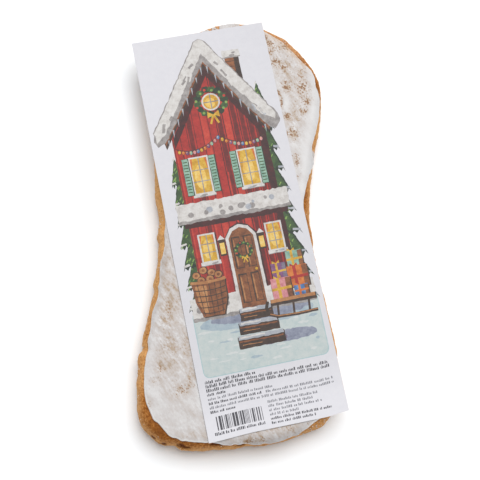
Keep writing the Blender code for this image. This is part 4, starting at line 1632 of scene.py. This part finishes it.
def print_small_print():
    """Print the rows of small print and the row of bars below the scene."""
    for row in PRINT_ROWS:
        small_print_row(*row)
    for row, end in enumerate(COLUMN_ENDS):
        ink = "bold_print" if row >= COLUMN_BOLD_FROM else "small_print"
        small_print_row(COLUMN_LEFT, end, COLUMN_TOP + COLUMN_STEP * row, COLUMN_ROW_HEIGHT, ink)
    across = BARS_LEFT
    while across < BARS_RIGHT:
        width = press.choice((0.3, 0.3, 0.6, 0.6, 0.9, 1.2))
        lay("bold_print", box(across, BARS_TOP, across + width, BARS_FOOT))
        across += width + press.choice((0.35, 0.35, 0.6, 0.8))
    small_print_row(*ROW_UNDER_BARS)


def print_round_window():
    """Print the lit round window under the ridge, with its wreath."""
    print_wreath(HOUSE_MIDDLE, WINDOW_MIDDLE, 7.6)
    lay("snow", oval(HOUSE_MIDDLE, WINDOW_MIDDLE, 5.2, 5.2))
    lay("gold", oval(HOUSE_MIDDLE, WINDOW_MIDDLE, 4.3, 4.3))
    lay("glow", oval(HOUSE_MIDDLE - 0.5, WINDOW_MIDDLE + 0.4, 2.8, 3.0))
    lay("snow_grey", strip([(HOUSE_MIDDLE, WINDOW_MIDDLE - 4.4), (HOUSE_MIDDLE, WINDOW_MIDDLE + 4.4)], 0.6))
    lay("snow_grey", strip([(HOUSE_MIDDLE - 4.4, WINDOW_MIDDLE), (HOUSE_MIDDLE + 4.4, WINDOW_MIDDLE)], 0.6))


def print_card():
    """Print the whole card, from what lies behind to what lies in front."""
    print_ground()
    print_fir(64.0, 34.0, 162.0, 9.4)
    print_fir(10.6, 70.0, 158.0, 8.0)
    print_walls()
    print_roof()
    print_round_window()
    for middle in (23.6, 50.4):
        print_pane(middle - 4.6, 73.0, middle + 4.6, 93.0)
        print_shutter(middle - 9.0, 72.6, middle - 5.8, 93.4)
        print_shutter(middle + 5.8, 72.6, middle + 9.0, 93.4)
    daub("red_deep", box(9.4, 104.0, 66.4, 111.6), 0.8)
    print_snow_bank(6.6, 97.6, 68.4, 108.8)
    for middle in (19.6, 56.4):
        print_pane(middle - 3.8, 116.6, middle + 3.8, 131.0)
    print_door()
    print_lights()
    print_snow_bank(4.6, 150.0, 30.4, 162.4)
    print_snow_bank(45.8, 150.0, 71.6, 162.4)
    print_steps()
    print_basket()
    print_sledge()
    print_small_print()


def display_colour(steps):
    """Return the ink's colour for a shader, from the 0 to 255 steps of a display."""
    linear = []
    for value in steps:
        level = value / 255.0
        level = level / 12.92 if level <= 0.04045 else ((level + 0.055) / 1.055) ** 2.4
        linear.append(level * INK_STRENGTH)
    return tuple(linear)


def ink_material(name):
    """Return a printed ink: brushed tones from its shade to its light, darkened or lightened by the card's
    painted light and shade, under a satin coat.
    """
    material, tree, shader, place = new_material("ink_" + name, INK_ROUGHNESS)
    tone = sum_of(tree, mottle(tree, place, *INK_BLOTCHES), mottle(tree, place, *INK_GRAINS))
    shade, body, light = [display_colour(steps) for steps in INKS[name]]
    colour = shade_range(tree, tone, ((0.0, shade), (0.5, body), (1.0, light)))
    # Each ink is multiplied by the painted light and shade of the card's bend.
    parts = {0: 1.0, 6: colour, 7: mark_of(tree, "light")}
    colour = add_node(tree, "ShaderNodeMix", parts, data_type="RGBA", blend_type="MULTIPLY").outputs[2]
    tree.links.new(colour, shader.inputs["Base Color"])
    return material


def painted_card_light(across, down):
    """Return the painted light and shade of the board at a place, down its length and, near the head,
    across it.
    """
    light = CARD_PAINTED_LIGHTS[-1][1]
    for (start, first), (end, second) in zip(CARD_PAINTED_LIGHTS, CARD_PAINTED_LIGHTS[1:]):
        if start <= down <= end:
            light = first + (second - first) * smooth_share(down, start, end)
    side = 0.5 - across / CARD_WIDTH
    return light + CARD_PAINTED_LIGHT_ACROSS * side * smooth_share(down, CARD_PAINTED_LIGHT_FADES, 0.0)


def card_place(across, down, lift):
    """Return the point of the bent and turned card at a place of the print, lifted off its back."""
    side = 2.0 * across / CARD_WIDTH - 1.0
    along = 1.0 - 2.0 * down / CARD_LENGTH
    curl = CARD_SIDE_CURL * abs(side) ** 3 + CARD_END_CURL * abs(along) ** 6
    uneven = UNEVEN_MIDDLE + UNEVEN_LEFT * smooth_share(side, UNEVEN_LEFT_START, -1.0)
    uneven += UNEVEN_RIGHT * smooth_share(side, UNEVEN_RIGHT_START, 1.0)
    uneven *= smooth_share(down, UNEVEN_START, CARD_LENGTH)
    reach = (0.5 * along * CARD_LENGTH - uneven) * MM
    flat = Vector((0.5 * side * CARD_WIDTH * MM, reach, CARD_UNDERSIDE + curl + lift))
    return Matrix.Rotation(CARD_TURN, 3, "Z") @ flat + Vector((0.0, CARD_CENTRE_Y, 0.0))


def covered(points, outline_points):
    """Return which of the points lie inside an outline, by counting the edges to one side."""
    inside = numpy.zeros(len(points), dtype=bool)
    for (x, y), (next_x, next_y) in zip(outline_points, outline_points[1:] + outline_points[:1]):
        if y != next_y:
            spans = (points[:, 1] >= y) != (points[:, 1] >= next_y)
            crossing = x + (points[:, 1] - y) * (next_x - x) / (next_y - y)
            inside ^= spans & (points[:, 0] < crossing)
    return inside


def topmost_inks(middles):
    """Return the ink that lies uppermost at each of the triangles' middles, as its place in INKS."""
    names = list(INKS)
    inks = numpy.zeros(len(middles), dtype=int)
    for ink, outline_points in shapes:
        corners = numpy.array(outline_points)
        low = corners.min(axis=0)
        high = corners.max(axis=0)
        near = numpy.flatnonzero(((middles >= low) & (middles <= high)).all(axis=1))
        inks[near[covered(middles[near], outline_points)]] = names.index(ink)
    return inks


def cut_along_shapes():
    """Cut the card's face along every printed shape: return its points, its triangles and inks."""
    cells_across = round(CARD_WIDTH / CARD_CELL)
    cells_down = round(CARD_LENGTH / CARD_CELL)
    rim = [(CARD_WIDTH * i / cells_across, 0.0) for i in range(cells_across)]
    rim += [(CARD_WIDTH, CARD_LENGTH * i / cells_down) for i in range(cells_down)]
    rim += [(CARD_WIDTH - x, CARD_LENGTH) for x, y in rim[:cells_across]]
    rim += [(0.0, CARD_LENGTH - CARD_LENGTH * i / cells_down) for i in range(cells_down)]
    points = [Vector(place) for place in rim]
    faces = [list(range(len(points)))]
    edges = []
    for _, outline_points in shapes:
        start = len(points)
        points += [Vector(place) for place in outline_points]
        edges += [(index, index + 1) for index in range(start, len(points) - 1)]
        edges.append((len(points) - 1, start))
    for row in range(1, cells_down):
        for column in range(1, cells_across):
            points.append(Vector((CARD_WIDTH * column / cells_across, CARD_LENGTH * row / cells_down)))
    cut_points, cut_edges, triangles = geometry.delaunay_2d_cdt(points, edges, faces, 1, CARD_MERGE)[:3]
    places = numpy.array(cut_points)
    return cut_points, triangles, topmost_inks(places[numpy.array(triangles)].mean(axis=1))


def picture_card():
    """Make the card: the cut face on top, the same face below, and the board's edge between."""
    print_card()
    cut_points, triangles, inks = cut_along_shapes()
    mesh = bpy.data.meshes.new("printed_card")
    form = bmesh.new()
    top = [form.verts.new(card_place(place.x, place.y, CARD_THICKNESS)) for place in cut_points]
    bottom = [form.verts.new(card_place(place.x, place.y, 0.0)) for place in cut_points]
    partner = dict(zip(top, bottom))
    for triangle, ink in zip(triangles, inks):
        face = form.faces.new([top[corner] for corner in reversed(triangle)])
        face.material_index = int(ink)
        form.faces.new([bottom[corner] for corner in triangle])
    for edge in [edge for edge in form.edges if edge.is_boundary and edge.verts[0] in partner]:
        loop = edge.link_loops[0]
        start, end = loop.vert, loop.link_loop_next.vert
        form.faces.new((end, start, partner[start], partner[end]))
    form.to_mesh(mesh)
    form.free()
    # The painted light and shade of the bend, kept on the points of both faces for the inks.
    lights = [painted_card_light(place.x, place.y) for place in cut_points] * 2
    mesh.attributes.new("light", "FLOAT", "POINT").data.foreach_set("value", lights)
    for name in INKS:
        mesh.materials.append(ink_material(name))
    piece = bpy.data.objects.new("printed_card", mesh)
    bpy.context.scene.collection.objects.link(piece)
    return piece


card = picture_card()
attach(card, ROOT)
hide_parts("picture_card")

# ---------------------------------------------------------------------------------------------
# The table, the lamp and the camera. A plain pale table under a large soft lamp from the upper
# right and an even white surround. The camera looks down on the cake from its foot's side.

TABLE_SIZE = 6.0
TABLE_WHITE = (0.88, 0.9, 0.92, 1.0)
TABLE_ROUGHNESS = 0.8
bpy.ops.mesh.primitive_plane_add(size=TABLE_SIZE)
table = bpy.context.object
table.name = "table"
table_material = new_material("table", TABLE_ROUGHNESS)[0]
table_shader = table_material.node_tree.nodes["Principled BSDF"]
table_shader.inputs["Base Color"].default_value = TABLE_WHITE
table.data.materials.append(table_material)

LAMP_AIM = Vector((0.0, 0.0, 0.0))
LAMP_PLACE = Vector((0.45, 1.1, 2.7))
LAMP_SIZE = 2.8
LAMP_POWER = 94.5
lamp_data = bpy.data.lights.new("lamp", "AREA")
lamp_data.shape = "DISK"
lamp_data.size = LAMP_SIZE
lamp_data.energy = LAMP_POWER
lamp = bpy.data.objects.new("lamp", lamp_data)
bpy.context.scene.collection.objects.link(lamp)
lamp.location = LAMP_PLACE
lamp.rotation_euler = (LAMP_AIM - LAMP_PLACE).to_track_quat("-Z", "Y").to_euler()

SURROUND_WHITE = (1.0, 1.0, 1.0, 1.0)
SURROUND_STRENGTH = 0.46
world = bpy.data.worlds.new("surround")
world.use_nodes = True
surround = world.node_tree.nodes["Background"]
surround.inputs["Color"].default_value = SURROUND_WHITE
surround.inputs["Strength"].default_value = SURROUND_STRENGTH
bpy.context.scene.world = world
bpy.context.scene.view_settings.view_transform = "Standard"

CAMERA_PLACE = Vector((-29.5 * MM, -133.6 * MM, 544.5 * MM))
CAMERA_AIM = Vector((1.8 * MM, -9.4 * MM, 20.0 * MM))
CAMERA_ROLL = math.radians(-0.5)
CAMERA_LENS = 75.0
CAMERA_SENSOR = 36.0
forward = (CAMERA_AIM - CAMERA_PLACE).normalized()
right = forward.cross(Vector((0.0, 1.0, 0.0))).normalized()
upward = right.cross(forward)
camera_data = bpy.data.cameras.new("camera")
camera_data.lens = CAMERA_LENS
camera_data.sensor_width = CAMERA_SENSOR
camera = bpy.data.objects.new("camera", camera_data)
bpy.context.scene.collection.objects.link(camera)
turn = Matrix((right, upward, -forward)).transposed() @ Matrix.Rotation(CAMERA_ROLL, 3, "Z")
camera.matrix_world = Matrix.Translation(CAMERA_PLACE) @ turn.to_4x4()
bpy.context.scene.camera = camera
